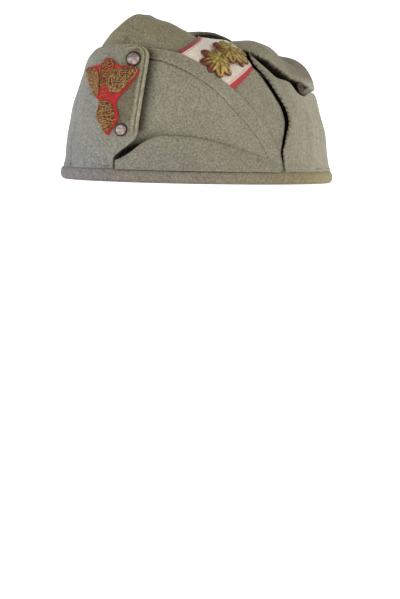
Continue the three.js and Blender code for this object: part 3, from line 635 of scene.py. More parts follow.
def ribbed_silk():
    """Ribbed silk: red edge stripes with a fine pale line beside each, white in between."""
    silk = Finish("ribbed_silk")
    stripes = silk.ramp(
        silk.at_point("across"), (0.0, (0.15, 0.02, 0.018)), (0.02, (0.23, 0.022, 0.022)),
        (0.095, (0.27, 0.02, 0.024)), (0.105, (0.74, 0.66, 0.58)), (0.125, (0.56, 0.33, 0.28)),
        (0.16, (0.68, 0.62, 0.54)), (0.86, (0.68, 0.62, 0.54)), (0.885, (0.6, 0.4, 0.34)),
        (0.9, (0.72, 0.62, 0.56)), (0.915, (0.46, 0.022, 0.03)), (1.0, (0.4, 0.02, 0.03)),
    )
    speck = silk.noise(0.8, 4, 0.7)
    soiled = silk.mixed(stripes, silk.ramp(speck, (0.25, (0.72, 0.68, 0.64)), (0.6, 1.06)))
    ribs = silk.node("ShaderNodeMath", 0, {0: silk.at_point("rib")}, operation="SINE")
    weave = silk.bumped(speck, 0.2, 0.4, silk.bumped(ribs, 0.12, 0.5))
    return silk.shaded(soiled, weave, 0.75, Sheen_Weight=0.2)


def tarnished_steel():
    """Tarnished plated steel with a pink cast, black in the ring round each dome."""
    steel = Finish("tarnished_steel")
    patch = steel.noise(0.45, 4, 0.65)
    plate = steel.ramp(
        patch, (0.32, (0.17, 0.11, 0.1)), (0.5, (0.31, 0.23, 0.215)), (0.68, (0.52, 0.46, 0.45))
    )
    tarnish = steel.ramp(steel.at_point("relief"), (0.1, (0.1, 0.07, 0.065)), (0.5, 1))
    dull = steel.ramp(patch, (0.35, 0.55), (0.7, 0.34))
    return steel.shaded(steel.mixed(plate, tarnish), steel.bumped(patch, 0.1, 0.3), dull, Metallic=0.75)


def brown_lacquer():
    lacquer = Finish("brown_lacquer")
    patch = lacquer.noise(0.7, 3, 0.6)
    colour = lacquer.ramp(patch, (0.38, (0.012, 0.006, 0.005)), (0.62, (0.095, 0.036, 0.024)))
    return lacquer.shaded(colour, lacquer.bumped(patch, 0.2, 0.4), 0.5)


CLOTH_COLOUR = (0.226, 0.212, 0.156)
CLOTH_FINISH = wool_twill()
THREAD_FINISH = plain_fabric("sewing_thread", (0.095, 0.086, 0.06), 1.5, 0.3, 0.2)
FELT_FINISH = plain_fabric("red_felt", (0.36, 0.012, 0.012), 0.55, 0.55, 0.0)
GOLD_FINISH = gold_thread()
LEAF_FINISH = gilt_casting()
RIBBON_FINISH = ribbed_silk()
SNAP_FINISH = tarnished_steel()
STUD_FINISH = brown_lacquer()

# How the cloth's colour is changed by region, by tints of its own and by painted light and shade: red, green
# and blue, faded in along up to three axes from a place over a distance
TONES = table(
    "what fades red green blue",
    # Lighter towards the back
    ("sun_faded_back", {"y": (-5, 55)}, 0.3, 0.3, 0.32),
    # Yellow tint, with painted shade, towards the top of the crown's front half
    ("yellowed_crown", {"z": (62, 30), "y": (10, -40)}, -0.1, -0.15, -0.27),
    # Painted shade on the lobes of the rear fold, more on the rear lobe
    ("dark_lobes", {"z": (62, 8), "y": (-10, 30)}, -0.28, -0.31, -0.34),
    ("dark_rear_lobe", {"z": (62, 8), "y": (20, 15)}, -0.34, -0.34, -0.34),
    # Painted cool light and shade on the front, low down and towards the far side
    ("cool_low_front", {"z": (30, -25), "y": (-40, -50)}, -0.08, -0.08, 0.03),
    ("cool_front", {"y": (-55, -25), "x": (18, -20), "z": (88, -12)}, -0.07, -0.04, 0.1),
)
# Near-black colour of the painted shade in folds, recesses and under edges
PAINTED_SHADE_DARK = np.array((0.03, 0.027, 0.025))
# A small darker spot on the crown, above the visor's top edge
DARK_SPOT_PLACE, DARK_SPOT_SIZE, DARK_SPOT_DEPTH = (6.6, -82, 85.7), 1.6, 0.5
# Painted shadow of a faint crease low on the front of the far side
CREASE_HEIGHT, CREASE_WIDTH, CREASE_SHADE = 27.6, 0.6, 0.12


def tone_of(points, shade=0.0):
    """Multiplier of the cloth's colour at points: tints and painted light and shade by region, a painted
    crease shadow, a small darker spot, and painted shade that goes near black where shade nears 1.
    """
    places = dict(zip("xyz", np.moveaxis(points, -1, 0)))
    tone = np.ones(points.shape)
    for row in TONES:
        amount = 1
        for axis, (start, run) in row["fades"].items():
            amount = amount * rise(places[axis], start, run)
        tone *= 1 + amount[..., None] * (row["red"], row["green"], row["blue"])
    # Painted shadow of the crease
    crease = bump(places["z"], CREASE_HEIGHT, CREASE_WIDTH)
    crease = crease * rise(places["x"], -8, -4) * rise(places["y"], -60, -10)
    tone *= 1 - CREASE_SHADE * crease[..., None]
    dark_spot = bump(np.linalg.norm(points - DARK_SPOT_PLACE, axis=-1), 0, DARK_SPOT_SIZE)
    tone *= 1 - DARK_SPOT_DEPTH * dark_spot[..., None]
    shade = np.clip(np.broadcast_to(shade, points.shape[:-1]), 0, 1)[..., None]
    return tone * (1 - shade + shade * PAINTED_SHADE_DARK)


# Pieces of cloth

CROWN_WALL_ROWS, CROWN_LIP_ROWS, CROWN_FOLD_ROWS, CROWN_TOP_ROWS = 74, 10, 30, 24
SLIT_MIDDLE, SLIT_HALF_WIDTH, SLIT_DEPTH, SLIT_SIDE = -4.0, 0.8, 8.5, 0.4
CAVE_DEPTH, LIP_TURN, LIP_TURN_PER_OVERHANG = 5.0, 0.9, 0.22
# Amounts of painted shade: in the sunk top, on the crown's inner face, and on the crown just above a side
# flap's edge
VALLEY_SHADE, INNER_FACE_SHADE, BESIDE_FLAP_SHADE = 0.9, 0.25, 0.3
FLAP_END = -6.4
POCKET_ANGLE, POCKET_HEIGHT, POCKET_SLOPE = -73.0, 19.0, 1.05


def crown_stations():
    """Stations round the half cap, close together at the pleat, and their mirror images."""
    spans = ((-90, -9, 70), (-9, -6.6, 8), (-6.6, -2.2, 42), (-2.2, 24, 34))
    left = [np.linspace(start, end, count, endpoint=False) for start, end, count in spans]
    left = np.concatenate([*left, np.linspace(24, 90, 34)])
    return np.concatenate([left, (180 - left[1:-1])[::-1]])


def crown_grid():
    """Outer points of the crown, by station and row, with the painted shade at each: in the slit, in the
    cave under the lip, under the rear flap and in the sunk top.
    """
    station = crown_stations()
    near = half(station)
    lip = lip_height(near)
    overhang = np.where(near > REAR_FOLD[0]["station"], lip_overhang(near), 0)
    turn = LIP_TURN + LIP_TURN_PER_OVERHANG * overhang
    rows, painted_shades = [], []

    # The wall, with the pleat's slit and the cave under the rear fold's lip, both painted dark as shade, as
    # is the wall under the rear flap
    from_slit = near - SLIT_MIDDLE
    slit_mouth = 1 - rise(np.abs(from_slit), SLIT_HALF_WIDTH, SLIT_SIDE)
    slit_lip = bump(from_slit, -2.6, 1.3) * 0.8
    under_flap = rise(near, SLIT_MIDDLE - 1, 0.6) * (1 - rise(near, 3, 4))
    cave_mouth = CAVE_DEPTH * rise(overhang, 0.5, 3)
    for part in np.linspace(0, 1, CROWN_WALL_ROWS):
        height = SEWN_FOOT + (lip - turn - SEWN_FOOT) * part
        reach = smooth(part * 6 - 0.25) * smooth((1 - part) * 9)
        slit = SLIT_DEPTH * slit_mouth * reach
        cave = cave_mouth * rise(part, 0.84, 0.1)
        out = -draw_in(station, height) - slit - cave + slit_lip * reach
        rows.append(wall(angle_of(station, height), height, out))
        painted_shades.append(rise(slit, 0.6, 3) + rise(cave, 0, 3) + under_flap * reach)

    # The lip turns out and up into the fold; its underside is painted dark as shade
    start = -draw_in(station, lip) - cave_mouth
    angle = angle_of(station, lip)
    ragged = 0.04 * np.sin(station * 4.3) + 0.03 * np.sin(station * 9.7 + 1)
    for part in parts(CROWN_LIP_ROWS):
        out = start + (overhang - start) * math.sqrt(1 - (1 - part) ** 2)
        rows.append(wall(angle, lip - turn + 2 * turn * part**1.5, out))
        painted_shades.append(rise(overhang, 0.5, 2) * (1 - rise(part - ragged, 0.36, 0.3)))

    # The fold's face, with its dent, up to the crest
    top = crest_height(angle)
    dent = DENT_DEPTH * bump(station, DENT_STATION, DENT_WIDTH)
    for part in parts(CROWN_FOLD_ROWS):
        share = 1 - (1 - part) ** 1.7
        height = lip + turn + (top - lip - turn) * share
        out = overhang * (1 - share**2.2) - dent * rise(share, 0.2, 0.4) * rise(share, 1, -0.1)
        rows.append(wall(angle, height, out) if part < 1 else plain_wall(angle, top))
        painted_shades.append(np.zeros(len(station)))

    # The sunk top, down to its crease, painted dark as shade below the crest
    crest_x, crest_y = crest_place(angle)
    run = (CREST_BACK_Y - CREST_FRONT_Y) / 2 - KEEL_SETBACK
    keel_y = (CREST_FRONT_Y + CREST_BACK_Y) / 2 + run * np.sin(np.radians(angle))
    keel_z = np.minimum(keel_height(half(angle)), top - 1)
    for part in parts(CROWN_TOP_ROWS) ** 1.5:
        sunk = (top - keel_z) * math.sin(part * math.pi / 2)
        rows.append(np.stack([crest_x * (1 - part), crest_y + (keel_y - crest_y) * part, top - sunk], -1))
        painted_shades.append(VALLEY_SHADE * rise(sunk, 0.8, 1))
    return np.stack(rows, 1), np.stack(painted_shades, 1)


def grid_normals(points):
    """Outward normals of a ring of columns."""
    along = np.roll(points, -1, 0) - np.roll(points, 1, 0)
    return unit(np.cross(along, np.gradient(points, axis=1)))


def plan_angle(x, y):
    return np.degrees(np.arctan2(y / RIM_HALF_LENGTH, x / RIM_HALF_WIDTH))


def beside_flap(x, y, z):
    """How near each point of the crown lies to the upper edge of a side flap, just beyond it, for the
    painted shadow of the flap's edge.
    """
    angle = plan_angle(np.abs(x), y)
    beyond = z - side_flap_top(angle)
    return np.where(angle < FLAP_END, bump(beyond, 0, 1.6), 0) * (z < crest_height(angle) - 4)


def pocket_shade(angle, height):
    """Painted shade of the small pocket that gapes beside the visor's foot, by place."""
    fold = angle - POCKET_ANGLE - (height - POCKET_HEIGHT) * POCKET_SLOPE
    return 1.2 * bump(fold, 0, 5) * bump(height, 18.5, 8)


def crown():
    outer, depth = crown_grid()
    x, y, z = np.moveaxis(outer, -1, 0)
    # Painted shadow of the side flap's edge and painted shade in the pocket, added to the painted shade of
    # the folds
    beside = BESIDE_FLAP_SHADE * beside_flap(x, y, z) + pocket_shade(plan_angle(x, y), z)
    beside[:, -CROWN_TOP_ROWS:] = 0
    depth = depth + beside
    normal = grid_normals(outer)
    fade = np.ones(outer.shape[1])
    fade[-4:] = (0.6, 0.3, 0.1, 0)
    relief = uneven(outer, 11, 26, 0.35) + uneven(outer, 12, 9, 0.1)
    outer = outer + normal * (relief * fade * (1 - np.clip(depth, 0, 1)))[..., None]
    columns, rows = outer.shape[:2]
    kept = np.unique(np.append(np.arange(0, rows, 3), rows - 1))
    inner = outer[:, kept] - normal[:, kept] * CLOTH
    inner[:, -1] = outer[:, -1] - (0, 0, CLOTH)
    inner[:, 0, 2] = SEWN_FOOT
    start = columns * rows
    faces = [*grid_faces(columns, rows, ring=True)]
    faces += [*grid_faces(columns, len(kept), start, ring=True, flip=True)]
    for i in range(columns):
        n = (i + 1) % columns
        faces.append((i * rows, start + i * len(kept), start + n * len(kept), n * rows))
    points = np.concatenate([outer.reshape(-1, 3), inner.reshape(-1, 3)])
    # The inner face is painted darker as shade
    tones = (tone_of(outer, depth), tone_of(inner, INNER_FACE_SHADE))
    tones = np.concatenate([tone.reshape(-1, 3) for tone in tones])
    made = outward(shape(points, faces, tone=tones))
    weld(make_piece("crown_cloth", made, CLOTH_FINISH, "cloth", "crown"))


ROLL_HEIGHT, ROLL_PROUD, ROLL_INSIDE, ROLL_POWER = 8.0, 3.6, 3.0, 2 / 2.7


def rim_roll():
    """Rolled hem: a rounded section carried round the foot, a little wrinkled, pulled in at its stitches."""
    angle = np.linspace(-90, 270, 480, endpoint=False)[:, None]
    way = np.radians(angle)
    turn = np.linspace(0, 2 * math.pi, 28, endpoint=False)[None]
    across = np.sign(np.cos(turn)) * np.abs(np.cos(turn)) ** ROLL_POWER
    upwards = np.sign(np.sin(turn)) * np.abs(np.sin(turn)) ** ROLL_POWER
    wrinkle = 0.22 * np.sin(way * 83) * np.sin(way * 7)
    wrinkle = wrinkle + 0.16 * np.sin(way * 47 + 1) + 0.12 * np.sin(way * 131 + 2)
    reach = (ROLL_PROUD + ROLL_INSIDE) / 2 + wrinkle * (0.4 + 0.6 * np.clip(across, 0, 1))
    sag = 0.18 * np.sin(way * 61)
    height = ROLL_HEIGHT / 2 * (1 + upwards) + sag * np.clip(upwards, 0, 1)
    points = wall(angle, WALL_FOOT, (ROLL_PROUD - ROLL_INSIDE) / 2 + across * reach)
    points[..., 2] = height
    # Painted shade along the roll's top, where the body tucks in behind it
    tone = tone_of(points, bump(height, ROLL_HEIGHT, 0.6) * 0.12)
    # The roll is a little darker and pinker overall, with painted warm light, yellower towards the back
    yellow = rise(points[..., 1], -60, 90)[..., None]
    tone *= np.array((0.93, 0.88, 0.86)) - yellow * (0.02, 0.04, 0.22)
    # Painted shade on the roll's underside, darker towards the bottom
    tone *= 1 - rise(height, 2.6, -2.6)[..., None] * (0.2, 0.23, 0.23)
    columns, rows = height.shape
    i, j = np.arange(columns)[:, None], np.arange(rows)[None]
    n, k = (i + 1) % columns, (j + 1) % rows
    faces = np.stack([i * rows + j, n * rows + j, n * rows + k, i * rows + k], -1).reshape(-1, 4)
    made = outward(shape(points, faces, tone=tone.reshape(-1, 3)))
    make_piece("rim_roll_cloth", made, CLOTH_FINISH, "cloth", "rim_roll")


def cloth_panel(name, place, tone, rounding, relief=0):
    columns, rows = tone.shape[:2]
    made = panel(place, columns, rows, CLOTH, rounding, relief, tone=tone)
    make_piece(f"{name}_cloth", made, CLOTH_FINISH, "cloth", name)


def side_angle(side, angle):
    return angle if side > 0 else 180 - angle


def side_rows(foot, line, top, below, above):
    """Heights from the foot to a line and on to the top, crowded at each of the three."""
    low = foot + (line - foot) * crowded(below)[None, :-1]
    high = line + (top - line) * crowded(above)[None]
    return np.concatenate([low, high], 1)


def flap_front(side, height):
    """Distance of a side flap's front edge from the centre plane."""
    tucked = rise(height, FAR_FLAP_TUCKS_FROM, FAR_FLAP_TUCKS_OVER)
    return SIDE_FLAP_FRONT + (0 if side > 0 else (FAR_FLAP_FRONT - SIDE_FLAP_FRONT) * (1 - tucked))


def side_flap(side, name):
    start = front_angle(SIDE_FLAP_FRONT, 70.0)
    angle = (start + (FLAP_END - start) * crowded(150))[:, None]
    top = side_flap_top(angle)
    line = np.clip(side_flap_stitch(angle), SEWN_FOOT + 0.1 * (top - SEWN_FOOT), top - 2)
    height = side_rows(SEWN_FOOT, line, top, 52, 30)
    edge_angle = front_angle(flap_front(side, height), height)
    angles = edge_angle + (angle - start) * (FLAP_END - edge_angle) / (FLAP_END - start)
    turned_angles = side_angle(side, angles)
    middle = GAP + CLOTH / 2
    centre = wall(turned_angles, height, middle)
    soft = uneven(centre, 21 + side, 30, 0.4) + uneven(centre, 23 + side, 11, 0.12)
    pocket = 0.7 * bump(angles, -70, 6) * bump(height, 20.5, 6.5) * (side > 0)
    groove = 0.45 * bump(height, line, 0.5)
    swell = 0.3 * bump(height, line + 3.5, 2.6)

    def place(out):
        return wall(turned_angles, height, middle + out + soft * rise(height, top, -3) - pocket)

    # Painted shade in the stitched groove and, on the near flap, in the pocket and as the visor's shadow
    shade = 0.32 * bump(height, line, 0.45)
    if side > 0:
        past_visor = centre[..., 0] - visor_left(height)
        visor_shadow = 0.8 * (1 - rise(past_visor, 0.4, 6.5)) * rise(height, 27, 5)
        shade = shade + pocket_shade(angles, height) + visor_shadow
    tone = tone_of(centre, shade)
    # Painted highlights along the flap's raised edge and beside the stitched groove
    hem = bump(edge_distance(centre, (False, True, False, True)), 0.6, 0.5)
    tone *= 1 + (0.2 * hem + 0.1 * bump(height, line + 0.9, 0.5))[..., None]
    cloth_panel(name, place, tone, 0.8, swell - groove)


LOWER_PANEL_FRONT, LOWER_PANEL_END = -78.7, -8.0


def lower_panel(side, name):
    angle = (LOWER_PANEL_FRONT + (LOWER_PANEL_END - LOWER_PANEL_FRONT) * crowded(140))[:, None]
    top = lower_panel_top(angle)
    height = SEWN_FOOT + (top - SEWN_FOOT) * crowded(34)[None]
    share = 1 if side > 0 else FAR_PANEL_SHARE
    angles = side_angle(side, LOWER_PANEL_END + (angle - LOWER_PANEL_END) * share)
    middle = 2 * GAP + CLOTH * 1.5
    centre = wall(angles, height, middle)
    soft = uneven(centre, 31 + side, 24, 0.3)
    part = (height - SEWN_FOOT) / (top - SEWN_FOOT)
    gape = 2.2 * bump(angle, -67, 7) * smooth(part)
    settle = -1.5 * rise(angle, -55, 45) * rise(part, 0.3, 0.7)

    def place(out):
        return wall(angles, height, middle + out + soft * rise(height, top, -3) + gape + settle)

    # Painted shade along the panel's top edge; the whole panel is a little darker as well
    cloth_panel(name, place, tone_of(centre, 0.3 * rise(part, 0.94, 0.06)) * 0.93, 0.9)


REAR_FLAP_START, REAR_FLAP_LEAN, REAR_FLAP_CURL = -5.3, 1.2, 2.0
# Spacing and slant of the dark strokes along the rear flap's front edge
STROKE_SPACE, STROKE_SLANT = 2.7, 1.6


def rear_flap():
    spread = (1 - np.cos(np.linspace(0, math.pi / 2, 120))) ** 0.8
    left = REAR_FLAP_START + (90 - REAR_FLAP_START) * spread
    station = np.concatenate([left, (180 - left[:-1])[::-1]])[:, None]
    lane = half(station)
    top = rear_flap_top(lane)
    height = SEWN_FOOT + (top - SEWN_FOOT) * crowded(140)[None]
    part = (height - SEWN_FOOT) / (top - SEWN_FOOT)
    leans = 0.9 * bump(height, 64, 9) - REAR_FLAP_LEAN * rise(height, 67, 11)
    ragged = 0.12 * np.sin(height * 2.3) * rise(height, 40, -12)
    shift = (leans + ragged) * rise(lane, 4, -9)
    lanes = lane + shift
    stations = station + shift * np.where(station > 90, -1, 1)
    angles = angle_of(stations, height)
    curl = REAR_FLAP_CURL * rise(lanes, 3, -8) * smooth(part * 4)
    middle = GAP + CLOTH / 2 + curl - draw_in(stations, height)
    lean_out = 1.5 * rise(part, 0.8, 0.2) * rise(lanes, 2, 4) * rise(lanes, 24, -10)
    folds = 0.35 * np.sin(lanes * 0.9 + 1.2 * np.sin(lanes * 0.23))
    hanging = folds * rise(lanes, 2, 6) * smooth(part * 3)
    centre = wall(angles, height, middle)
    soft = uneven(centre, 41, 28, 0.45) + uneven(centre, 42, 10, 0.12)

    def place(out):
        return wall(angles, height, middle + out + lean_out + soft * rise(height, top, -4) + hanging)

    # Painted shade under the rear fold's lip
    under_lip = rise(height, lip_height(lanes) - 6, 6) * rise(lanes, -3, 3)
    # Slanted dark strokes along the flap's front edge
    from_edge = lane - REAR_FLAP_START
    slant = np.sin((height + STROKE_SLANT * from_edge) * 2 * math.pi / STROKE_SPACE)
    dark_strokes = bump(from_edge, 0, 1.1) * rise(slant, -0.1, 0.7) * rise(height, 24, 8)
    tone = tone_of(centre, 0.3 * under_lip + 0.6 * dark_strokes)
    # Painted highlight along the flap's edges; the hanging folds are painted lighter where they stand out
    # and darker where they sink
    hem = bump(edge_distance(centre, (True, True, False, True)), 0.7, 0.6)
    tone *= 1 + (0.16 * hem + 0.12 * hanging)[..., None]
    cloth_panel("rear_flap", place, tone, 0.85)


def front_visor():
    low, high = SEWN_FOOT, VISOR_SIDE[-1]["height"]
    height, across = together(low + (high - low) * crowded(96)[None], 2 * crowded(110)[:, None] - 1)
    left, right = visor_left(height), visor_right(height)
    x = (left - right) / 2 + across * (left + right) / 2
    middle = CLOTH / 2
    centre = on_visor(x, height, middle)
    distance = edge_distance(centre, (True, True, False, True))
    soft = uneven(centre, 51, 26, 0.35) + uneven(centre, 52, 10, 0.1)

    def place(out):
        return on_visor(x, height, middle + out + soft * smooth(distance / 4))

    # A piped edge and two stitched grooves on the near side
    seamed = rise(height, 26, 4) * rise(x, 7, 8)
    bead = 0.5 * bump(distance, 1, 0.9)
    near_groove, far_groove = 0.5 * bump(distance, 2.3, 0.4), bump(distance, 5.2, 0.5)
    # Painted shade in the two grooves; the beads are painted lighter and yellower
    tone = tone_of(centre, (near_groove + 0.12 * far_groove) * seamed)
    beads = (bump(distance, 1.1, 0.7) + 0.6 * bump(distance, 3.6, 0.7)) * seamed
    tone *= 1 + beads[..., None] * (0.3, 0.27, 0.12)
    # Painted shade with a warm cast between the badge and the beaded edge
    shaded_beside_badge = rise(x, 9, 6) * rise(height, 30, 8) * rise(distance, 4, 2)
    tone *= 1 - shaded_beside_badge[..., None] * (0.34, 0.38, 0.46)
    cloth_panel("front_visor", place, tone, 0.85, (bead - near_groove - 0.2 * far_groove) * seamed)


# Stitches

STITCH_LENGTH, STITCH_SPACE, STITCH_RADIUS, STITCH_POINTS = 2.0, 3.1, 0.26, 6


def stitches(surface, across, height, out):
    """Short rounded threads along a line on a surface."""
    path = surface(across, height, out)
    normals = unit(surface(across, height, out + 1) - path)
    run = np.concatenate([[0], np.cumsum(np.linalg.norm(np.diff(path, axis=0), axis=1))])
    swell = np.sqrt(1 - np.linspace(-0.94, 0.94, STITCH_POINTS) ** 2)
    made = []
    for start in np.arange(STITCH_SPACE, run[-1] - STITCH_SPACE, STITCH_SPACE):
        at = start + np.linspace(0, STITCH_LENGTH, STITCH_POINTS)
        points, normal = (
            np.stack([np.interp(at, run, values[:, k]) for k in range(3)], -1) for values in (path, normals)
        )
        made.append(tube(points, unit(normal), STITCH_RADIUS * swell, 5))
    return joined(made)


def all_stitches():
    for side, name in ((1, "left"), (-1, "right")):
        angle = np.linspace(-66, -12.2, 300)
        made = stitches(wall, side_angle(side, angle), side_flap_stitch(angle), GAP + CLOTH - 0.15)
        make_piece(f"side_flap_stitches_{name}", made, THREAD_FINISH, "cloth")
    level = np.linspace(28, 75, 200)
    made = stitches(on_visor, visor_left(level) - 2.3, level, CLOTH - 0.3)
    make_piece("visor_stitches", made, THREAD_FINISH, "cloth")
    made = stitches(wall, np.linspace(-88, 268, 1400), WALL_FOOT + 1.0, GAP + CLOTH)
    make_piece("rim_stitches", made, THREAD_FINISH, "cloth")


# Badge

FELT_THICKNESS = 1.5
FELT_OUT = CLOTH + GAP - 0.2
THREAD_OUT = FELT_OUT + 1.2
THREAD_COIL, THREAD_POINTS = 0.9, 34
WING_STRANDS, WING_STRAND_RADIUS = 9, 0.75


def badge_place(height, x, out):
    """Place on the badge's own centre line, which leans."""
    centre = BADGE_FOOT_X - BADGE_LEAN * height
    return on_visor(centre + x, BADGE_FOOT_HEIGHT + height, out)


def between(rows, first, last):
    """Gives places at a height, from one edge of an outline to the other as the share goes from 0 to 1."""
    start, end = curve(rows, "height", first), curve(rows, "height", last)
    return lambda height, share: start(height) + (end(height) - start(height)) * share


def badge_felt():
    columns, rows = 60, 64
    height, part = together((BADGE_FELT[-1]["height"] * crowded(rows))[None], crowded(columns)[:, None])
    x = between(BADGE_FELT, "left", "right")(height, part)

    def place(out):
        return badge_place(height, x, FELT_OUT + FELT_THICKNESS / 2 + out)

    made = panel(place, columns, rows, FELT_THICKNESS, 0.7)
    make_piece("badge_felt_cut", made, FELT_FINISH, "red_felt", "badge_felt")


def laid_thread(heights, xs, lift, radius):
    """Coiled metal thread laid over the badge through a few places."""
    at = np.linspace(0, 1, len(heights))
    part = np.linspace(0, 1, THREAD_POINTS)
    height = np.interp(part, at, heights)
    x = np.interp(part, at, xs)
    arch = np.sin(part * math.pi) ** 0.5
    path = badge_place(height, x, THREAD_OUT + lift * (0.4 + 0.6 * arch))
    normal = unit(badge_place(height, x, THREAD_OUT + 2) - badge_place(height, x, THREAD_OUT))
    length = np.linalg.norm(np.diff(path, axis=0), axis=1).sum()
    rings = np.cos(part * length / THREAD_COIL * 2 * math.pi)
    taper = np.clip(np.minimum(part, 1 - part) * 7 + 0.35, 0, 1)
    return tube(path, normal, radius * taper * (1 + 0.14 * rings), 6)


def wing(side, rows, name):
    """Strands fan out from the wing's root at its foot to its top edge, inside a corded outline."""
    across = between(rows, "inner", "outer")
    low, high = rows[0]["height"], rows[-1]["height"]
    chance = np.random.default_rng(71 + side)
    made = []

    def add(heights, share, lift, radius):
        made.append(laid_thread(heights, side * across(heights, share), lift, radius))

    for share in np.linspace(0.08, 0.92, WING_STRANDS):
        shares = share + 0.035 * chance.normal(size=9)
        lift = 0.55 + 0.3 * chance.random()
        add(np.linspace(low + 0.5, high - 0.6, 9), shares, lift, WING_STRAND_RADIUS)
    for share in np.linspace(0.12, 0.94, 11):
        tilt = chance.uniform(-0.6, 1.8) * np.array((-1, 0, 1))
        add(low + (high - low) * share + tilt, np.array((0.06, 0.5, 0.94)), 1.15, 0.32)
    for share in (0, 1):
        add(np.linspace(low, high, 12), share, 0.9, 0.5)
    make_piece(f"{name}_threads", joined(made), GOLD_FINISH, "gold_thread", name)


def bird_body():
    """Packed threads on the tail, a bare red middle with a few stitches, an open mesh on neck and head."""
    across = between(BADGE_BODY, "left", "right")
    chance = np.random.default_rng(77)
    made = []

    def crosswise(height, slant, radius, lift):
        share = np.linspace(0, 1, 5)
        heights = height + slant * (share - 0.5) + 0.25 * chance.normal(size=5)
        made.append(laid_thread(heights, across(height, share), lift, radius))

    def upwards(heights, share, radius, lift):
        made.append(laid_thread(heights, across(heights, share), lift, radius))

    for height in np.arange(2.6, 19.4, 1.15):
        crosswise(height, chance.uniform(-1.2, 1.2), 0.66, 0.55 + 0.4 * chance.random())
    for share in (0.2, 0.42, 0.62, 0.82):
        upwards(np.linspace(4.5, 18.5, 8), share + 0.04 * chance.normal(size=8), 0.4, 1.15)
    for height in (20.6, 23, 25.2, 27.4):
        crosswise(height, chance.uniform(-1.5, 1.5), 0.24, 0.35)
    for height in np.arange(28.6, 43, 1.25):
        crosswise(height, 2.2, 0.27, 0.7)
        crosswise(height, -2.2, 0.25, 0.45)
    for share in (0.04, 0.96):
        upwards(np.linspace(27, 43.2, 10), share, 0.42, 0.8)
    make_piece("badge_body_threads", joined(made), GOLD_FINISH, "gold_thread", "badge_body")


# Snaps, ribbon, leaves and stud

# Profiles: share of the radius, and height in millimetres
SNAP_FLANGE = ((0, 0), (0.96, 0), (1, 0.25), (1, 0.55), (0.94, 0.85), (0.86, 0.82), (0.82, 0.9))
SNAP_DOME_SHARE, SNAP_DOME_FOOT, SNAP_DOME_HEIGHT = 0.82, 0.85, 1.25
STUD_PROFILE = (
    (0, 0), (0.6, 0), (0.6, 2.6), (1, 3), (1.05, 3.6), (0.94, 4.4), (0.78, 4.9), (0.6, 4.3), (0.42, 4.9),
    (0.2, 4.4), (0, 5.1),
)
RIBBON_THICKNESS, RIBS = 0.8, 30 / 0.9


def snap_shape(radius):
    """Domed cap with a rolled flange and a shallow ring round the dome."""
    turn = np.radians(np.linspace(12, 88, 8))
    dome = zip(SNAP_DOME_SHARE * np.cos(turn) ** 0.7, SNAP_DOME_FOOT + SNAP_DOME_HEIGHT * np.sin(turn))
    top = (0, SNAP_DOME_FOOT + SNAP_DOME_HEIGHT)
    made = lathe([(radius * share, height) for share, height in (*SNAP_FLANGE, *dome, top)], 36)
    reach = np.hypot(made["points"][:, 0], made["points"][:, 1]) / radius
    return {**made, "fields": {"relief": rise(reach, 0.88, -0.16)}}


def snaps():
    for row in SNAPS:
        made = set_on(on_visor, snap_shape(row["radius"]), row["across"], row["height"], CLOTH)
        name = f"snap_{row['level']}_left"
        make_piece(f"{name}_cap", made, SNAP_FINISH, "snap_metal", name)


def ribbon():
    columns, rows = 70, 60
    across, part = together(crowded(columns)[:, None], (-0.12 + 1.12 * crowded(rows))[None])
    foot_angle, foot_height, head_angle, head_height = (
        curve(RIBBON, "across", key)(across) for key in RIBBON[0] if key != "across"
    )
    frayed = 0.16 * np.sin(across * 47) + 0.12 * np.sin(across * 23 + 1)
    top = np.minimum(head_height, crest_height(head_angle) - 0.8 + frayed * (across < 0.6))
    angle = foot_angle + (head_angle - foot_angle) * part
    height = foot_height + (top - foot_height) * part
    middle = GAP + RIBBON_THICKNESS / 2
    soft = uneven(wall(angle, height, middle), 61, 14, 0.12)

    def place(out):
        return wall(angle, height, middle + out + soft)

    rib = part * RIBS * 2 * math.pi
    made = panel(place, columns, rows, RIBBON_THICKNESS, 0.35, across=across, rib=rib)
    make_piece("ribbon_silk", made, RIBBON_FINISH, "ribbon_weave", "ribbon")


def leaf_reach(lobes, turn):
    """Distance from the heart of a leaf to its edge, and how near each direction is to a lobe's middle."""
    notch = LEAF_HEART * sum(row["reach"] for row in lobes) / len(lobes)
    reach = np.full(turn.shape, notch)
    nearness = np.zeros(turn.shape)
    for row in lobes:
        off = np.abs((turn - row["turn"] + 180) % 360 - 180) / row["width"]
        near = np.clip(1 - off, 0, 1)
        bulge = np.sin(near * math.pi / 2) ** 1.1
        reach = np.maximum(reach, notch + (row["reach"] - notch) * bulge)
        nearness = np.maximum(nearness, near)
    return reach, nearness


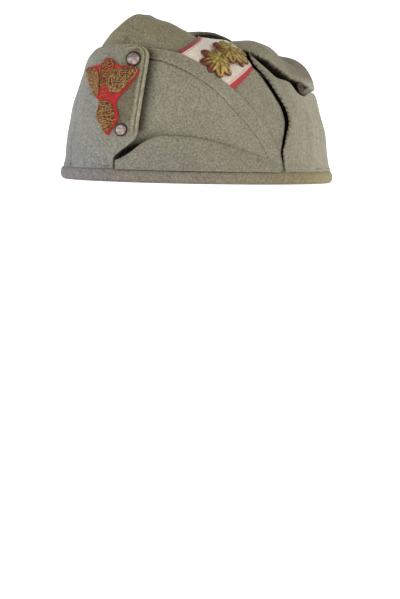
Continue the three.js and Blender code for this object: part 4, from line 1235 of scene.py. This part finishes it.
def leaf_shape(lobes):
    """Cast leaf: pointed lobes, each with a grooved vein from the heart of the leaf."""
    turn = np.linspace(-180, 180, 220, endpoint=False)[:, None]
    reach, near = leaf_reach(lobes, turn)
    step = parts(16)
    x, y = np.cos(np.radians(turn)) * reach * step, np.sin(np.radians(turn)) * reach * step
    dome = np.sqrt(np.clip(1 - step**3, 0, 1))
    vein = bump(near, 1, 0.12) * rise(step, 1, -0.3) * rise(step, 0, 0.2)
    side_veins = 0.5 + 0.5 * np.cos(step * 26) * near
    height = 0.5 + 1.25 * dome + 0.35 * near * dome - 0.75 * vein - 0.12 * side_veins * dome
    # Red-brown over the side of the leaf towards the cap's front
    darker_side = 0.35 * rise(x, -2.5, -5)
    relief = np.clip(dome * (0.6 + 0.5 * near) - 0.9 * vein - 0.12 * side_veins - darker_side, 0, 1)

    # The last row is the foot of the leaf's edge
    x, y = np.append(x, x[:, -1:], 1), np.append(y, y[:, -1:], 1)
    height, relief = (np.pad(values, ((0, 0), (0, 1))) for values in (height, relief))
    droop = 0.012 * (x * x + y * y)
    points = np.stack([x, y, height - droop], -1).reshape(-1, 3)
    points = np.concatenate([points, [(0, 0, 1.6), (0, 0, 0)]])
    return outward(shape(points, capped(*x.shape), relief=np.append(relief, (0.5, 0))))


def leaves():
    for row in LEAVES:
        name = row["name"]
        made = set_on(wall, leaf_shape(LEAF_LOBES[name]), row["angle"], row["height"], row["lift"])
        make_piece(f"{name}_casting", made, LEAF_FINISH, "leaf_metal", name)


def rear_stud():
    angle = angle_of(STUD_STATION, STUD_HEIGHT)
    made = lathe([(STUD_RADIUS * share, height) for share, height in STUD_PROFILE], 28)
    made = set_on(wall, made, angle, STUD_HEIGHT, 0.5 - draw_in(STUD_STATION, STUD_HEIGHT))
    make_piece("rear_stud_button", made, STUD_FINISH, "stud_lacquer", "rear_stud")


crown()
rim_roll()
for SIDE, NAME in ((1, "left"), (-1, "right")):
    side_flap(SIDE, f"side_flap_{NAME}")
    lower_panel(SIDE, f"lower_panel_{NAME}")
rear_flap()
front_visor()
all_stitches()
badge_felt()
wing(1, BADGE_WING_LEFT, "badge_wing_left")
wing(-1, BADGE_WING_RIGHT, "badge_wing_right")
bird_body()
snaps()
ribbon()
leaves()
rear_stud()

# Stage, light and camera. The stage is in metres.

PAPER_FRONT, PAPER_BACK, PAPER_BEND, PAPER_TOP, PAPER_HALF_WIDTH = -2.2, 1.6, 0.7, 2.4, 3.0


def direction(azimuth, elevation):
    """From the cap outwards. Azimuth 0 is in front of the cap and 90 on the wearer's left."""
    turn, lift = math.radians(azimuth), math.radians(elevation)
    return Vector((math.sin(turn) * math.cos(lift), -math.cos(turn) * math.cos(lift), math.sin(lift)))


def paper_white():
    """Paper that glows a little, so that it stays white in a soft light."""
    finish = bpy.data.materials.new("paper_white")
    finish.use_nodes = True
    inputs = finish.node_tree.nodes["Principled BSDF"].inputs
    inputs["Base Color"].default_value = (0.85, 0.85, 0.85, 1)
    inputs["Roughness"].default_value = 1
    inputs["Specular IOR Level"].default_value = 0
    inputs["Emission Color"].default_value = (1, 1, 1, 1)
    inputs["Emission Strength"].default_value = 0.75
    return finish


def backdrop():
    """Pale floor that curves up into a wall behind the cap."""
    foot = PAPER_BACK - PAPER_BEND
    profile = [(PAPER_FRONT, 0), (foot, 0)]
    for turn in parts(13) * math.pi / 2:
        profile.append((foot + PAPER_BEND * math.sin(turn), PAPER_BEND * (1 - math.cos(turn))))
    profile.append((PAPER_BACK, PAPER_TOP))
    away, side = -direction(CAMERA_TURN, 0), direction(CAMERA_TURN + 90, 0)
    sides = (-PAPER_HALF_WIDTH, PAPER_HALF_WIDTH)
    points = [away * back + side * across + Vector((0, 0, z)) for across in sides for back, z in profile]
    count = len(profile)
    faces = [(k, count + k, count + k + 1, k + 1) for k in range(count - 1)]
    added("backdrop", smooth_mesh("backdrop", points, faces, paper_white()))


def area_light(name, azimuth, elevation, distance, size, power, colour):
    """Square lamp aimed at the middle of the cap."""
    lamp = bpy.data.lights.new(name, "AREA")
    lamp.shape = "SQUARE"
    lamp.size = size
    lamp.energy = power
    lamp.color = colour
    way = direction(azimuth, elevation)
    aim = way.to_track_quat("Z", "Y").to_matrix().to_4x4()
    added(name, lamp).matrix_world = Matrix.Translation(way * distance) @ aim


def camera():
    """Aimed so that the frame's origin falls on its pixel in the photograph."""
    place = direction(CAMERA_TURN, CAMERA_RISE)
    look = -place
    right = look.cross(Vector((0, 0, 1))).normalized()
    pitch = math.atan((IMAGE_HEIGHT / 2 - ORIGIN_PIXEL[1]) / FOCAL_PIXELS)
    yaw = math.atan((IMAGE_WIDTH / 2 - ORIGIN_PIXEL[0]) / FOCAL_PIXELS)
    look = Matrix.Rotation(-pitch, 3, right) @ look
    up = right.cross(look)
    look = Matrix.Rotation(-yaw, 3, up) @ look
    right = Matrix.Rotation(-yaw, 3, up) @ right
    roll = Matrix.Rotation(math.radians(CAMERA_ROLL), 3, look)
    right, up = roll @ right, roll @ up
    lens = bpy.data.cameras.new("camera")
    lens.sensor_width = SENSOR
    lens.lens = FOCAL_PIXELS * SENSOR / IMAGE_HEIGHT
    lens.clip_start = 0.05
    lens.clip_end = 20
    viewer = added("camera", lens)
    matrix = Matrix((right, up, -look)).transposed().to_4x4()
    viewer.matrix_world = Matrix.Translation(place * CAMERA_DISTANCE * MM) @ matrix
    bpy.context.scene.camera = viewer


backdrop()
area_light("key_left", -32, 16, 1.5, 1.3, 12, (0.86, 0.94, 1.0))
area_light("soft_front", 30, 24, 1.8, 1.6, 9, (1.0, 0.98, 0.94))
area_light("fill_right", 102, 22, 1.6, 1.2, 10, (1.0, 0.93, 0.8))

world = bpy.data.worlds.new("white_room")
world.use_nodes = True
world.node_tree.nodes["Background"].inputs["Color"].default_value = (1, 1, 1, 1)
world.node_tree.nodes["Background"].inputs["Strength"].default_value = 0.22
bpy.context.scene.world = world
bpy.context.scene.view_settings.view_transform = "Standard"
camera()
